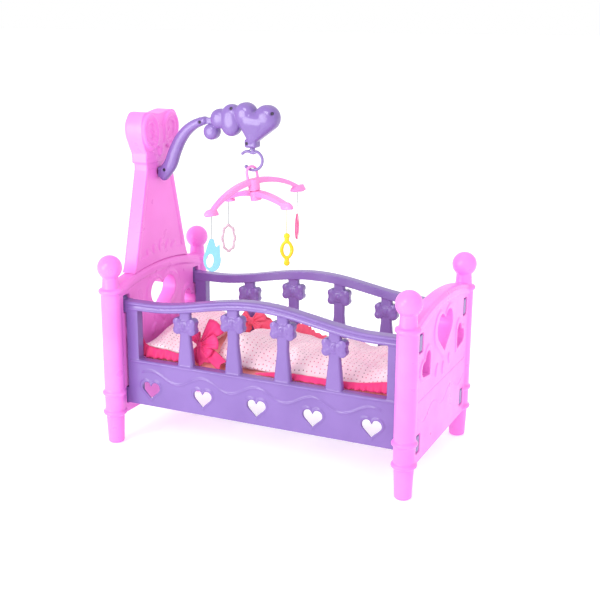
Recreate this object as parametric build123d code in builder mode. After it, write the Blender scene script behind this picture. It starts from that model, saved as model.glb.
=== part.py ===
from build123d import *
import math
import os

# Doll's crib with a hanging mobile. Millimetres. X runs from the headboard to the footboard,
# Y from the front to the back, Z up. The origin is the middle of the footprint, on the floor.

# ---- bed frame -------------------------------------------------------------------------
post_span_x = 470.0        # head post axis to foot post axis
post_span_y = 258.0        # front post axis to back post axis
post_r = 15.3
post_bead_r = 18.4
post_bead_h = 3.6          # half height of one ring
post_bead_zs = (49.5, 81.0, 241.0)
leg_foot_r = 12.4
leg_top_r = 14.2
foot_round = 2.0
neck_low_r = 13.0
neck_top_r = 11.6
ball_r = 18.6
ball_z = 277.0

# ---- head and foot boards ----------------------------------------------------------------
board_core = 22.0          # thickness of the flat web
relief = 1.5               # how far the moulded rims stand out
board_bottom = 44.0
board_shoulder = 246.0     # top edge where it meets the posts
board_crown = 263.5        # top edge in the middle
board_edge_round = 4.0
arch_band = 8.5            # width of the raised band under the top edge
arch_step = 0.9            # from the rounded edge down to the band
groove_depth = 1.2
groove_width = 3.0
groove_z = 135.0
wave_z = 107.0             # wavy groove of the boards
wave_height = 8.0
wave_pitch = 84.0
big_heart_w = 72.0
big_heart_h = 58.0
big_heart_z = 204.0
big_heart_rim = 13.0
small_heart_w = 40.0
small_heart_h = 37.0
small_heart_z = 176.0
small_heart_rim = 8.0
small_heart_tilt = 40.0
petal_l = 19.0
petal_w = 11.0
petal_spread = 30.0
petal_side_z = 157.0
petal_mid_z = 151.0

# ---- headboard tower ---------------------------------------------------------------------
tower_depth = 23.0
tower_foot_half = 80.0
tower_low_half = 71.0
tower_low_z = board_crown + 17.5
tower_top_half = 37.0
tower_top_z = board_crown + 147.5
tower_rim = 8.0
collar_z = tower_top_z + 10.0
collar_h = 15.0
seat_gap = 0.2             # between pieces that only rest on each other
tenon_w = 26.0
tenon_t = 10.0
tenon_h = 16.0
tenon_y = 46.0
fit_gap = 0.25             # each side of a plug in its socket
bow_half_w = 53.0
bow_base_half = 37.0
bow_z = collar_z + 10.0
bow_top_z = bow_z + 68.0
bow_depth = 28.0
bow_loop_rise = 1.6

# ---- side panels -------------------------------------------------------------------------
panel_inset = 25.0         # from the posts' axes in to a panel's middle
panel_end_gap = 1.5
panel_t = 14.0
panel_y = post_span_y / 2 - panel_inset
panel_half = post_span_x / 2 - board_core / 2 - relief - panel_end_gap
small_heart_y = panel_y - 27.0
panel_bottom = 60.0
sill_z = 132.0
stile_w = 20.0
rail_end_z = 223.0
rail_rise = 22.5
rail_half_wave = panel_half - 37.0
rail_h = 13.5
rail_t = 16.0
baluster_count = 4
baluster_pitch = 2 * (panel_half - stile_w) / (baluster_count + 1)
baluster_xs = [(i - (baluster_count - 1) / 2) * baluster_pitch for i in range(baluster_count)]
baluster_base = (27.0, 12.5)
baluster_mid = (17.5, 9.5)
baluster_top = (18.5, 9.5)
baluster_mid_z = 178.0
rail_bow_drop = 21.0       # from the rail's lower edge to the bow's middle
rail_bow_lobe = 6.5
rail_bow_x = 12.3
rail_bow_z = 6.3
rail_bow_t = 13.0
panel_heart_w = 30.0
panel_heart_h = 27.0
panel_heart_z = 84.5
panel_heart_pitch = (panel_half - 41.0) / 2
panel_wave_z = 109.0
panel_wave_h = 8.0
panel_relief = 0.8
panel_skin = 3.0           # wall left in front of the pockets under the ledge
pocket_low = 63.5
pocket_high = 99.5
pocket_rib = 2.0
tab_t = 14.0
tab_h = 24.0
tab_reach = 19.0
tab_root = 3.0             # how far a hook starts inside the panel's end
tab_low_z = 72.0           # middle of the lower hooks
tab_high_z = 217.0
slot_side_gap = 1.5
slot_end_gap = 1.5
ledge_w = 8.0
ledge_t = 4.0

# ---- bed base and bedding ------------------------------------------------------------------
base_top = 117.0
base_t = 3.0
base_rib_h = 5.0
soft_gap = 0.4
mattress_h = 13.0
inner_half = panel_y - panel_t / 2
pillow_size = (92.0, 2 * inner_half - 10.0, 46.0)
pillow_end_gap = 9.0
pillow_x = -panel_half + pillow_end_gap + pillow_size[0] / 2
quilt_end_gap = 8.0
bedding_gap = 21.0         # between pillow and quilt
quilt_length = 2 * panel_half - pillow_end_gap - pillow_size[0] - bedding_gap - quilt_end_gap
quilt_size = (quilt_length, 2 * inner_half - 8.0, 30.0)
quilt_x = panel_half - quilt_end_gap - quilt_size[0] / 2
bow_pad = (bedding_gap - 2 * soft_gap, 50.0, 50.0)
bow_pad_y = 58.0

# ---- mobile: arm ---------------------------------------------------------------------------
arm_root_x = -post_span_x / 2 + tower_depth / 2 + 10.7
arm_root_z = tower_top_z - 5.0
arm_steps = ((0, 0), (9.8, 13.0), (17.3, 31.0), (27.3, 50.0), (39.8, 65.0), (54.8, 75.5), (70.8, 81.5))
arm_route = [(arm_root_x + x, arm_root_z + z) for x, z in arm_steps]
arm_end_x, arm_end_z = arm_route[-1]
arm_widths = (21.0, 21.0, 20.0, 18.5, 16.5, 14.5, 12.5)
arm_depth = 15.0
arm_edge_step = 1.6        # step that breaks the arm's long edges
wall = 2.0
arm_screws_at = ((arm_root_x + 0.8, arm_root_z + 3.0), (arm_end_x - 5.0, arm_end_z - 2.3))
arm_foot_h = 23.0          # flat back of the arm, against the tower
arm_spigot_r = 6.0
arm_spigot_l = 12.0
neck_h = 9.0
neck_t = 9.0
neck_l = 24.0

# ---- mobile: housing -----------------------------------------------------------------------
spindle_x = arm_end_x + 81.0
cloud_lobes = ((spindle_x - 68.0, arm_end_z - 16.0, 12.3, 11.0),      # x, z, radius, half depth
               (spindle_x - 53.0, arm_end_z + 4.0, 15.0, 12.0))
oval_x = spindle_x - 34.0
oval_z = arm_end_z + 2.5
oval_rx = 17.5
oval_rz = 24.0
oval_half_depth = 13.0
heart_tip = (spindle_x + 1.0, arm_end_z - 32.5)
heart_left = (spindle_x - 10.0, arm_end_z + 13.0, 17.0)
heart_right = (spindle_x + 25.0, arm_end_z + 8.0, 19.5)
heart_half_depth = 15.0
puff_round = 5.0
lug_w = 19.0
lug_z = arm_end_z - 36.5
lug_h = 12.0
lug_t = 18.0
lug_bore_r = 2.9
housing_screws_at = ((spindle_x - 30.5, arm_end_z + 20.4, oval_half_depth),
                     (spindle_x + 37.6, arm_end_z + 15.5, heart_half_depth),
                     (spindle_x - 5.9, arm_end_z - 30.1, lug_t / 2))
boss_r = 3.1
screw_head_r = 2.3
screw_head_h = 1.6
screw_r = 1.1
screw_recess = 2.2
recess_r = 2.6

# ---- mobile: drive -------------------------------------------------------------------------
spindle_r = 2.5
run_gap = 0.05             # radial clearance of a turning shaft
bush_r = 4.2
bush_z = lug_z + 5.0
bush_top = bush_z + 7.2
gear_module = 0.6
gear_addendum = 0.8
gear_dedendum = 1.15
gear_backlash = 0.12
gear_t = 3.5
gear_z = arm_end_z - 14.5
output_teeth = 24
idler_teeth = 16
pinion_teeth = 12
pinion_angle = 45.0        # direction from the idler to the pinion, in plan
axle_r = 1.0
frame_low_z = gear_z - 3.0
frame_t = 1.2
frame_high_z = gear_z + 5.0
frame_half_y = 10.2
pillar_r = 1.2
motor_r = 6.0
motor_h = 15.0

# ---- mobile: electrics ---------------------------------------------------------------------
cell_r = 5.8
cell_h = 5.4
cell_count = 3
cell_x = oval_x + 0.5
cell_y = 4.4
cell_z = oval_z - 8.0
contact_t = 0.5
pcb_size = (22.0, 1.2, 20.0)
pcb_y = -4.6
speaker_r = 8.0
speaker_t = 4.0
speaker_y = -7.2
door_w = 15.0
door_low_z = oval_z - 11.0
door_h = 28.0
door_t = 2.0
switch_x = spindle_x - 12.0
switch_z = arm_end_z + 12.5
knob_w = 5.0
knob_h = 3.6
knob_out = 2.0
knob_travel = 4.0
knob_gap = 0.3

# ---- mobile: hook and hanger ----------------------------------------------------------------
ring_r = 14.5              # hook ring, to the middle of the wire
wire_r = 2.25
ring_z = lug_z - 19.0
ring_turn = 10.0           # plan angle of the hook's plane
ring_start = 150.0         # open end above
ring_end = -138.0          # ball end below
tip_ball_r = 3.0
hanger_turn = 59.9         # plan angle of the upper bar
hanger_tilt = 8.3          # how far the upper bar hangs out of level
hanger_roll = 3.9          # how far the lower bar hangs out of level
hub_shift = 2.6
bail_half = 8.8
bail_r = 2.1
bail_gap = 1.0
bar_reach = 80.5
top_bar_rise = 19.0        # hub's top above the hub's middle
top_bar_drop = 31.0
bar_w = 11.0
bar_h = 8.5
hub_r = 9.0
low_bar_top = 1.0          # lower bar's top above the hub's middle
low_bar_drop = 15.5
low_hub_h = 15.0
cap_l = 23.0
cap_w = 15.0
cap_h = 9.0

# ---- mobile: strings and pendants -------------------------------------------------------------
string_r = 0.5
string_gap = 0.5           # string's end below the cap
pendant_t = 2.6
face_turn = 24.6           # plan angle that most pendants face


def heart_sketch(width, height):
    """A heart of the given size, centred on its bounding box, tip down."""
    lobe = 0.27 * width
    lobe_x = width / 2 - lobe
    lobe_z = height / 2 - lobe
    tip_z = -height / 2
    reach = math.hypot(lobe_x, lobe_z - tip_z)
    turn = math.atan2(lobe_z - tip_z, lobe_x) - math.asin(lobe / reach)
    side = math.sqrt(reach ** 2 - lobe ** 2)
    touch = (side * math.cos(turn), tip_z + side * math.sin(turn))
    with BuildSketch() as heart:
        with Locations((-lobe_x, lobe_z), (lobe_x, lobe_z)):
            Circle(lobe)
        Polygon((0, tip_z), touch, (lobe_x, lobe_z), (0, lobe_z + lobe / 3),
                (-lobe_x, lobe_z), (-touch[0], touch[1]), align=None)
    return heart.sketch


def wave_strip(z_mid, height, pitch, half_length, width):
    """A wavy strip with crests at plus and minus half a pitch."""
    count = int(2 * half_length / (pitch / 6))
    steps = [-half_length + 2 * half_length * i / count for i in range(count + 1)]
    crest = [z_mid - height * math.cos(2 * math.pi * x / pitch) for x in steps]
    with BuildSketch() as strip:
        with BuildLine():
            upper = Spline(*[(x, z + width / 2) for x, z in zip(steps, crest)])
            lower = Spline(*[(x, z - width / 2) for x, z in zip(steps, crest)])
            Line(upper @ 0, lower @ 0)
            Line(upper @ 1, lower @ 1)
        make_face()
    return strip.sketch


def spur_gear(teeth, bore_r, turn):
    """A spur gear with involute flanks, lying on the XY plane round the origin."""
    pitch_r = gear_module * teeth / 2
    base_r = pitch_r * math.cos(math.radians(20))
    tip_r = pitch_r + gear_addendum * gear_module
    root_r = pitch_r - gear_dedendum * gear_module
    flank_r = max(base_r, root_r + 0.05)
    half_pitch = math.pi / (2 * teeth) - gear_backlash / (2 * pitch_r)
    involute_pitch = math.tan(math.radians(20)) - math.radians(20)
    outline = []
    for k in range(teeth):
        middle = math.radians(turn) + 2 * math.pi * k / teeth
        flank = []
        for i in range(5):
            r = flank_r + (tip_r - flank_r) * i / 4
            press = math.acos(base_r / r)
            half = half_pitch + involute_pitch - (math.tan(press) - press)
            flank.append((r, half))
        root_half = min(flank[0][1], math.pi / teeth * 0.9)
        left = [(root_r, -root_half)] + [(r, -half) for r, half in flank]
        right = [(r, half) for r, half in reversed(flank)] + [(root_r, root_half)]
        outline += [(r * math.cos(middle + a), r * math.sin(middle + a)) for r, a in left + right]
    with BuildPart() as gear:
        with BuildSketch():
            Polygon(*outline, align=None)
            Circle(bore_r, mode=Mode.SUBTRACT)
        extrude(amount=gear_t)
    return gear.part


# ---- posts and boards -----------------------------------------------------------------------
def post_solid():
    """One turned post with its rings, neck and ball, standing on the origin."""
    low, middle, high = post_bead_zs
    ball_low = ball_z - math.sqrt(ball_r ** 2 - neck_top_r ** 2)
    with BuildPart() as post:
        with BuildSketch(Plane.XZ):
            with BuildLine():
                Polyline((0, 0), (leg_foot_r - foot_round, 0), (leg_foot_r, foot_round),
                         (leg_top_r, low - post_bead_h))
                ThreePointArc((leg_top_r, low - post_bead_h), (post_bead_r, low), (post_r, low + post_bead_h))
                Line((post_r, low + post_bead_h), (post_r, middle - post_bead_h))
                ThreePointArc((post_r, middle - post_bead_h), (post_bead_r, middle),
                              (post_r, middle + post_bead_h))
                Line((post_r, middle + post_bead_h), (post_r, high - post_bead_h))
                ThreePointArc((post_r, high - post_bead_h), (post_bead_r, high),
                              (neck_low_r, high + post_bead_h))
                Line((neck_low_r, high + post_bead_h), (neck_top_r, ball_low))
                ThreePointArc((neck_top_r, ball_low), (ball_r, ball_z), (0, ball_z + ball_r))
                Line((0, ball_z + ball_r), (0, 0))
            make_face()
        revolve(axis=Axis.Z)
    return post.part


def arch_strip(drop, width, half_y):
    """A strip under the board's top edge, between two arcs."""
    with BuildSketch() as strip:
        with BuildLine():
            upper = ThreePointArc((-half_y, board_shoulder - drop), (0, board_crown - drop),
                                  (half_y, board_shoulder - drop))
            lower = ThreePointArc((-half_y, board_shoulder - drop - width), (0, board_crown - drop - width),
                                  (half_y, board_shoulder - drop - width))
            Line(upper @ 0, lower @ 0)
            Line(upper @ 1, lower @ 1)
        make_face()
    return strip.sketch


def board_solid():
    """The moulding that the headboard and the footboard share, with its middle on the YZ plane."""
    half_y = post_span_y / 2
    big_heart = heart_sketch(big_heart_w, big_heart_h)
    big_rim = heart_sketch(big_heart_w + 2 * big_heart_rim, big_heart_h + 1.4 * big_heart_rim)
    small_heart = heart_sketch(small_heart_w, small_heart_h)
    small_rim = heart_sketch(small_heart_w + 2 * small_heart_rim, small_heart_h + 1.6 * small_heart_rim)
    band = arch_strip(board_edge_round + arch_step, arch_band, half_y - post_r / 2)
    wave = wave_strip(wave_z, wave_height, wave_pitch, half_y - post_r - 3, groove_width)
    post = post_solid()
    with BuildPart() as board:
        with BuildSketch(Plane.YZ.offset(-board_core / 2)):
            with BuildLine():
                arch = ThreePointArc((-half_y, board_shoulder), (0, board_crown), (half_y, board_shoulder))
                Polyline(arch @ 1, (half_y, board_bottom), (-half_y, board_bottom), arch @ 0)
            make_face()
        extrude(amount=board_core)
        top_edges = board.faces().sort_by(Axis.Z)[-1].edges().filter_by(GeomType.CIRCLE)
        fillet(top_edges, radius=board_edge_round)
        for side in (-1, 1):
            with BuildSketch(Plane.YZ.offset(side * board_core / 2)):
                add(band)
                with Locations((0, big_heart_z)):
                    add(big_rim)
                for hand in (-1, 1):
                    with Locations((hand * small_heart_y, small_heart_z)):
                        add(small_rim, rotation=-hand * small_heart_tilt)
                    with Locations((hand * petal_spread, petal_side_z)):
                        Ellipse(petal_w / 2, petal_l / 2, rotation=hand * 30)
                with Locations((0, petal_mid_z)):
                    Ellipse(petal_w / 2, petal_l / 2)
            extrude(amount=side * relief)
            with BuildSketch(Plane.YZ.offset(side * board_core / 2)):
                with Locations((0, groove_z)):
                    Rectangle(2 * (half_y - post_r) - 6, groove_width)
                add(wave)
            extrude(amount=-side * groove_depth, mode=Mode.SUBTRACT)
        with Locations((0, -half_y, 0), (0, half_y, 0)):
            add(post)
        with BuildSketch(Plane.YZ.offset(-board_core)):
            with Locations((0, big_heart_z + 0.2 * big_heart_rim)):
                add(big_heart)
            for hand in (-1, 1):
                with Locations((hand * small_heart_y, small_heart_z)):
                    add(small_heart, rotation=-hand * small_heart_tilt)
            with Locations(*[(hand * panel_y, z) for hand in (-1, 1) for z in (tab_low_z, tab_high_z)]):
                Rectangle(tab_t + 2 * slot_side_gap, tab_h + 2 * slot_end_gap)
        extrude(amount=2 * board_core, mode=Mode.SUBTRACT)
    return board.part


board = board_solid()
head_x = -post_span_x / 2
foot_x = post_span_x / 2
tenon_floor = board_shoulder - tenon_h + 8.0

with BuildPart() as headboard:
    with Locations((head_x, 0, 0)):
        add(board)
    with Locations(*[(head_x, y, tenon_floor - seat_gap) for y in (-tenon_y, tenon_y)]):
        Box(tenon_t + 2 * fit_gap, tenon_w + 2 * fit_gap, board_crown - tenon_floor + 30, mode=Mode.SUBTRACT,
            align=(Align.CENTER, Align.CENTER, Align.MIN))
headboard.part.label = "headboard"

with BuildPart() as footboard:
    with Locations((foot_x, 0, 0)):
        add(board)
footboard.part.label = "footboard"


# ---- headboard tower --------------------------------------------------------------------------
def arch_height(y):
    """Height of the board's top edge at y."""
    rise = board_crown - board_shoulder
    radius = ((post_span_y / 2) ** 2 + rise ** 2) / (2 * rise)
    return board_crown - radius + math.sqrt(radius ** 2 - y ** 2)


def tower_outline(inset):
    """Flared outline of the tower; inset moves its sides inwards."""
    foot = tower_foot_half - 2 * inset
    low = (tower_low_half - inset, tower_low_z)
    top = (tower_top_half - inset, tower_top_z)
    foot_z = arch_height(foot) + seat_gap + 2 * inset
    crown_z = board_crown + seat_gap + 2 * inset
    with BuildSketch() as outline:
        with BuildLine():
            base = ThreePointArc((-foot, foot_z), (0, crown_z), (foot, foot_z))
            Spline(base @ 1, (foot - 4, foot_z + 8), low)
            Polyline(low, top, (top[0], collar_z - inset), (-top[0], collar_z - inset), (-top[0], top[1]),
                     (-low[0], low[1]))
            Spline((-low[0], low[1]), (-foot + 4, foot_z + 8), base @ 0)
        make_face()
    return outline.sketch


def bow_outline(inset):
    """Rounded silhouette of the ribbon bow on top of the tower."""
    half = bow_half_w - inset
    with BuildSketch() as outline:
        with BuildLine():
            low = (bow_base_half - inset, bow_z + inset)
            side = (half, bow_top_z - 26)
            top = (half - 16, bow_top_z - inset)
            notch = (0, bow_top_z - 4 - inset)
            Spline(low, (half - 5, bow_z + 20), side, tangents=((0.5, 1), (0, 1)))
            Spline(side, (half - 4, bow_top_z - 8), top, tangents=((0, 1), (-1, 0.1)))
            Spline(top, notch, (-top[0], top[1]), tangents=((-1, 0), (-1, 0)))
            Spline((-top[0], top[1]), (4 - half, bow_top_z - 8), (-half, side[1]), tangents=((-1, -0.1), (0, -1)))
            Spline((-half, side[1]), (5 - half, bow_z + 20), (-low[0], low[1]), tangents=((0, -1), (0.5, -1)))
            Line((-low[0], low[1]), low)
        make_face()
    return outline.sketch


tower_face = tower_outline(0)
tower_field = tower_outline(tower_rim)
bow_face = bow_outline(0)

with BuildPart() as headboard_tower:
    with BuildSketch(Plane.YZ.offset(head_x - tower_depth / 2)):
        add(tower_face)
    extrude(amount=tower_depth)
    for side in (-1, 1):
        with BuildSketch(Plane.YZ.offset(head_x + side * tower_depth / 2)):
            add(tower_field)
        extrude(amount=-side * relief, mode=Mode.SUBTRACT)
        with BuildSketch(Plane.YZ.offset(head_x + side * (tower_depth / 2 - relief))):
            with Locations((0, board_crown + 22.5)):
                Ellipse(petal_w / 2 + 1, petal_l / 2 + 1)
            for hand in (-1, 1):
                with Locations((hand * 18.0, board_crown + 20.5)):
                    Ellipse(petal_w / 2, petal_l / 2, rotation=-hand * 28)
                with Locations((hand * 35.0, board_crown + 17.5)):
                    Ellipse(petal_w / 2 - 1, petal_l / 2 - 1, rotation=-hand * 50)
        extrude(amount=side * relief)
    with Locations((head_x, 0, collar_z + collar_h / 2)):
        Box(tower_depth + 3, 2 * tower_top_half + 2, collar_h)
    with BuildSketch(Plane.YZ.offset(head_x - bow_depth / 2)):
        add(bow_face)
    extrude(amount=bow_depth)
    for side in (-1, 1):
        with BuildSketch(Plane.YZ.offset(head_x + side * bow_depth / 2)):
            for hand in (-1, 1):
                with Locations((hand * 29.0, bow_z + 37.0)):
                    Ellipse(20, 23, rotation=-hand * 12)
                    Ellipse(13, 16, rotation=-hand * 12, mode=Mode.SUBTRACT)
            with Locations((0, bow_z + 32.0)):
                Ellipse(8.5, 13)
        extrude(amount=side * bow_loop_rise)
    with Locations(*[(head_x, y, tenon_floor) for y in (-tenon_y, tenon_y)]):
        Box(tenon_t, tenon_w, arch_height(tenon_y) + 8 - tenon_floor,
            align=(Align.CENTER, Align.CENTER, Align.MIN))
    with Locations(Location((head_x + tower_depth / 2 - relief, 0, arm_route[0][1]), (0, -90, 0))):
        Cylinder(arm_spigot_r + fit_gap, arm_spigot_l + 1 + fit_gap, mode=Mode.SUBTRACT,
                 align=(Align.CENTER, Align.CENTER, Align.MIN))
headboard_tower.part.label = "headboard_tower"


# ---- side panels --------------------------------------------------------------------------------
def rail_swell(x):
    """Height of the top rail above its level ends."""
    if abs(x) >= rail_half_wave:
        return 0.0
    return rail_rise * (1 + math.cos(math.pi * x / rail_half_wave)) / 2


def rail_strip(drop, height):
    """A strip that follows the top rail, its upper edge drop below the rail's top."""
    count = 16
    xs = [-rail_half_wave + 2 * rail_half_wave * i / count for i in range(count + 1)]
    top = [(x, rail_end_z + rail_swell(x) - drop) for x in xs]
    low = [(x, z - height) for x, z in top]
    flat = ((1, 0), (1, 0))
    with BuildSketch() as strip:
        with BuildLine():
            Spline(*top, tangents=flat)
            Polyline(top[-1], (panel_half, top[-1][1]), (panel_half, low[-1][1]), low[-1])
            Spline(*low, tangents=flat)
            Polyline(low[0], (-panel_half, low[0][1]), (-panel_half, top[0][1]), top[0])
        make_face()
    return strip.sketch


def baluster_solid(x):
    """A faceted post that tapers up from the sill to the rail."""
    top_z = rail_end_z + rail_swell(x) - rail_h / 2
    levels = ((sill_z - 1, baluster_base), (baluster_mid_z, baluster_mid), (top_z, baluster_top))
    with BuildPart() as baluster:
        for z, (width, depth) in levels:
            with BuildSketch(Plane((x, -panel_y, z))) as section:
                Rectangle(width, depth)
                chamfer(section.vertices(), 0.22 * depth)
        loft(ruled=True)
    return baluster.part


def rail_bow_sketch():
    """Four-lobed ribbon bow."""
    with BuildSketch() as bow:
        with Locations(*[(i * rail_bow_x, k * rail_bow_z) for i in (-1, 1) for k in (-1, 1)]):
            Circle(rail_bow_lobe)
        Rectangle(2 * rail_bow_x + 4, 1.6 * rail_bow_z)
        Ellipse(7.0, 8.0)
    return bow.sketch


panel_heart = heart_sketch(panel_heart_w, panel_heart_h)
panel_heart_rim = heart_sketch(panel_heart_w + 5, panel_heart_h + 5)
rail_bow = rail_bow_sketch()
rail_face = rail_strip(0, rail_h)
rail_groove = rail_strip(5.0, 2.0)
panel_wave = wave_strip(panel_wave_z, -panel_wave_h, panel_heart_pitch, panel_half - 26, 1.8)
heart_xs = [i * panel_heart_pitch for i in (-2, -1, 0, 1, 2)]
panel_in = inner_half
panel_out = panel_y + panel_t / 2
balusters = [baluster_solid(x) for x in baluster_xs]
pocket_edges = [-panel_half + tab_reach] + [(i + 0.5) * panel_heart_pitch for i in (-2, -1, 0, 1)] + [panel_half - tab_reach]
pocket_spans = [(low + pocket_rib / 2, high - pocket_rib / 2) for low, high in zip(pocket_edges, pocket_edges[1:])]

with BuildPart() as side_panel_front:
    with BuildSketch(Plane.XZ.offset(panel_in)):
        with Locations((0, panel_bottom)):
            Rectangle(2 * panel_half, sill_z - panel_bottom, align=(Align.CENTER, Align.MIN))
        with Locations(*[(i * (panel_half - stile_w / 2), sill_z - 1) for i in (-1, 1)]):
            Rectangle(stile_w, rail_end_z - sill_z - 1, align=(Align.CENTER, Align.MIN))
    extrude(amount=panel_t)
    with BuildSketch(Plane.XZ.offset(panel_y - rail_t / 2)):
        add(rail_face)
    extrude(amount=rail_t)
    with BuildSketch(Plane.XZ.offset(panel_y + rail_t / 2)):
        add(rail_groove)
    extrude(amount=-panel_relief, mode=Mode.SUBTRACT)
    for post in balusters:
        add(post)
    with BuildSketch(Plane.XZ.offset(panel_y - rail_bow_t / 2)):
        for x in baluster_xs:
            with Locations((x, rail_end_z + rail_swell(x) - rail_h - rail_bow_drop)):
                add(rail_bow)
    extrude(amount=rail_bow_t)
    with BuildSketch(Plane.XZ.offset(panel_y - rail_bow_t / 2 - 1)):
        with Locations(*[(x, rail_end_z + rail_swell(x) - rail_h - rail_bow_drop) for x in baluster_xs]):
            Ellipse(3.8, 4.6)
    extrude(amount=rail_bow_t + 2)
    for plane_y, out in ((panel_out, 1), (panel_in, -1)):
        with BuildSketch(Plane.XZ.offset(plane_y)):
            with Locations(*[(x, panel_heart_z) for x in heart_xs]):
                add(panel_heart_rim)
            add(panel_wave)
            with Locations((0, sill_z - 3)):
                Rectangle(2 * panel_half - 16, 2.0)
        extrude(amount=out * panel_relief)
    with BuildSketch(Plane.XZ.offset(panel_in - 5)):
        with Locations(*[(x, panel_heart_z) for x in heart_xs]):
            add(panel_heart)
    extrude(amount=panel_t + 10, mode=Mode.SUBTRACT)
    for low_x, high_x in pocket_spans:
        with Locations(((low_x + high_x) / 2, -panel_out + panel_skin, pocket_low)):
            Box(high_x - low_x, panel_t, pocket_high - pocket_low, mode=Mode.SUBTRACT,
                align=(Align.CENTER, Align.MIN, Align.MIN))
    tab_x = panel_half + (tab_reach - tab_root) / 2
    with Locations(*[(i * tab_x, -panel_y, z) for i in (-1, 1) for z in (tab_low_z, tab_high_z)]):
        Box(tab_reach + tab_root, tab_t, tab_h)
    with Locations((0, -panel_in + ledge_w / 2, base_top - base_t - ledge_t / 2)):
        Box(2 * panel_half - 2 * stile_w, ledge_w, ledge_t)
side_panel_front.part.label = "side_panel_front"

with BuildPart() as side_panel_back:
    add(side_panel_front.part.mirror(Plane.XZ))
side_panel_back.part.label = "side_panel_back"

# ---- bed base and bedding ---------------------------------------------------------------------
with BuildPart() as bed_base:
    with Locations((0, 0, base_top - base_t / 2)):
        Box(2 * panel_half - 2, 2 * (panel_in - panel_relief - soft_gap), base_t)
    with Locations(*[(0, y, base_top - base_t - base_rib_h / 2) for y in (-60, -20, 20, 60)]):
        Box(2 * panel_half - 30, 3, base_rib_h)
bed_base.part.label = "bed_base"


def padded_block(size, centre_x, centre_y, low_z, edge):
    """A soft block with rounded edges that lies on low_z."""
    with BuildPart() as block:
        with Locations((centre_x, centre_y, low_z)):
            Box(*size, align=(Align.CENTER, Align.CENTER, Align.MIN))
        fillet(block.edges(), radius=edge)
    return block


mattress_low = base_top + soft_gap
mattress_top = mattress_low + mattress_h
mattress_size = (2 * panel_half - 6, 2 * (panel_in - 2), mattress_h)
mattress = padded_block(mattress_size, 0, 0, mattress_low, 0.3 * mattress_h)
mattress.part.label = "mattress"
bedding_low = mattress_top + soft_gap
pillow = padded_block(pillow_size, pillow_x, 0, bedding_low, 0.35 * pillow_size[2])
pillow.part.label = "pillow"
quilt = padded_block(quilt_size, quilt_x, 0, bedding_low, 0.35 * quilt_size[2])
quilt.part.label = "quilt"
bow_pad_x = quilt_x - quilt_size[0] / 2 - bedding_gap / 2
bow_pad_low = bedding_low
ribbon_bow_front = padded_block(bow_pad, bow_pad_x, -bow_pad_y, bow_pad_low, 4)
ribbon_bow_front.part.label = "ribbon_bow_front"
ribbon_bow_back = padded_block(bow_pad, bow_pad_x, bow_pad_y, bow_pad_low, 4)
ribbon_bow_back.part.label = "ribbon_bow_back"


# ---- arm ------------------------------------------------------------------------------------------
def arm_outline(inset):
    """Tapering S-shaped outline round the arm's middle line."""
    with BuildLine(mode=Mode.PRIVATE) as middle:
        Spline(*arm_route)
    count = len(arm_route) - 1
    route = middle.edges()[0]
    left = []
    right = []
    for i, width in enumerate(arm_widths):
        point = route.position_at(i / count)
        along = route.tangent_at(i / count)
        half = width / 2 - inset
        left.append((point.X - half * along.Y, point.Y + half * along.X))
        right.append((point.X + half * along.Y, point.Y - half * along.X))
    with BuildSketch() as outline:
        with BuildLine():
            Spline(*left)
            Line(left[-1], right[-1])
            Spline(*right)
            Line(right[0], left[0])
        make_face()
        with Locations(arm_route[0]):
            Circle(arm_widths[0] / 2 - inset)
            Rectangle(arm_widths[0] / 2 - inset, arm_foot_h - 2 * inset, align=(Align.MAX, Align.CENTER))
    return outline.sketch


def screw_solid(x, z, face_y):
    """A pan-head screw that goes in from the front face at -face_y."""
    head_y = -face_y + screw_recess
    with BuildPart() as screw:
        with Locations(Location((x, head_y, z), (-90, 0, 0))):
            Cylinder(screw_head_r, screw_head_h, align=(Align.CENTER, Align.CENTER, Align.MIN))
            Cylinder(screw_r, 2 * face_y - 2 * screw_recess - wall, align=(Align.CENTER, Align.CENTER, Align.MIN))
        with Locations((x, head_y, z)):
            Box(2.6, 1.2, 0.6, mode=Mode.SUBTRACT)
            Box(0.6, 1.2, 2.6, mode=Mode.SUBTRACT)
    return screw.part


def screw_space(x, z, face_y):
    """Recess, clearance hole and threaded hole for one screw."""
    head_y = -face_y + screw_recess
    with BuildPart() as space:
        with Locations(Location((x, -face_y - 5, z), (-90, 0, 0))):
            Cylinder(recess_r, 5 + screw_recess + screw_head_h, align=(Align.CENTER, Align.CENTER, Align.MIN))
        with Locations(Location((x, head_y, z), (-90, 0, 0))):
            Cylinder(screw_r, 2 * face_y - 2 * screw_recess - wall, align=(Align.CENTER, Align.CENTER, Align.MIN))
    return space.part


def screw_boss(x, z, face_y):
    """The post round one screw, from front wall to back wall."""
    with BuildPart() as boss:
        with Locations(Location((x, 0, z), (90, 0, 0))):
            Cylinder(boss_r + 0.6, 2 * face_y - wall)
    return boss.part


arm_face = arm_outline(0)
arm_crown = arm_outline(arm_edge_step)
arm_hollow = arm_outline(wall + arm_edge_step)
arm_half = arm_depth / 2
arm_bosses = [screw_boss(x, z, arm_half) for x, z in arm_screws_at]
arm_spaces = [screw_space(x, z, arm_half) for x, z in arm_screws_at]

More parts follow.
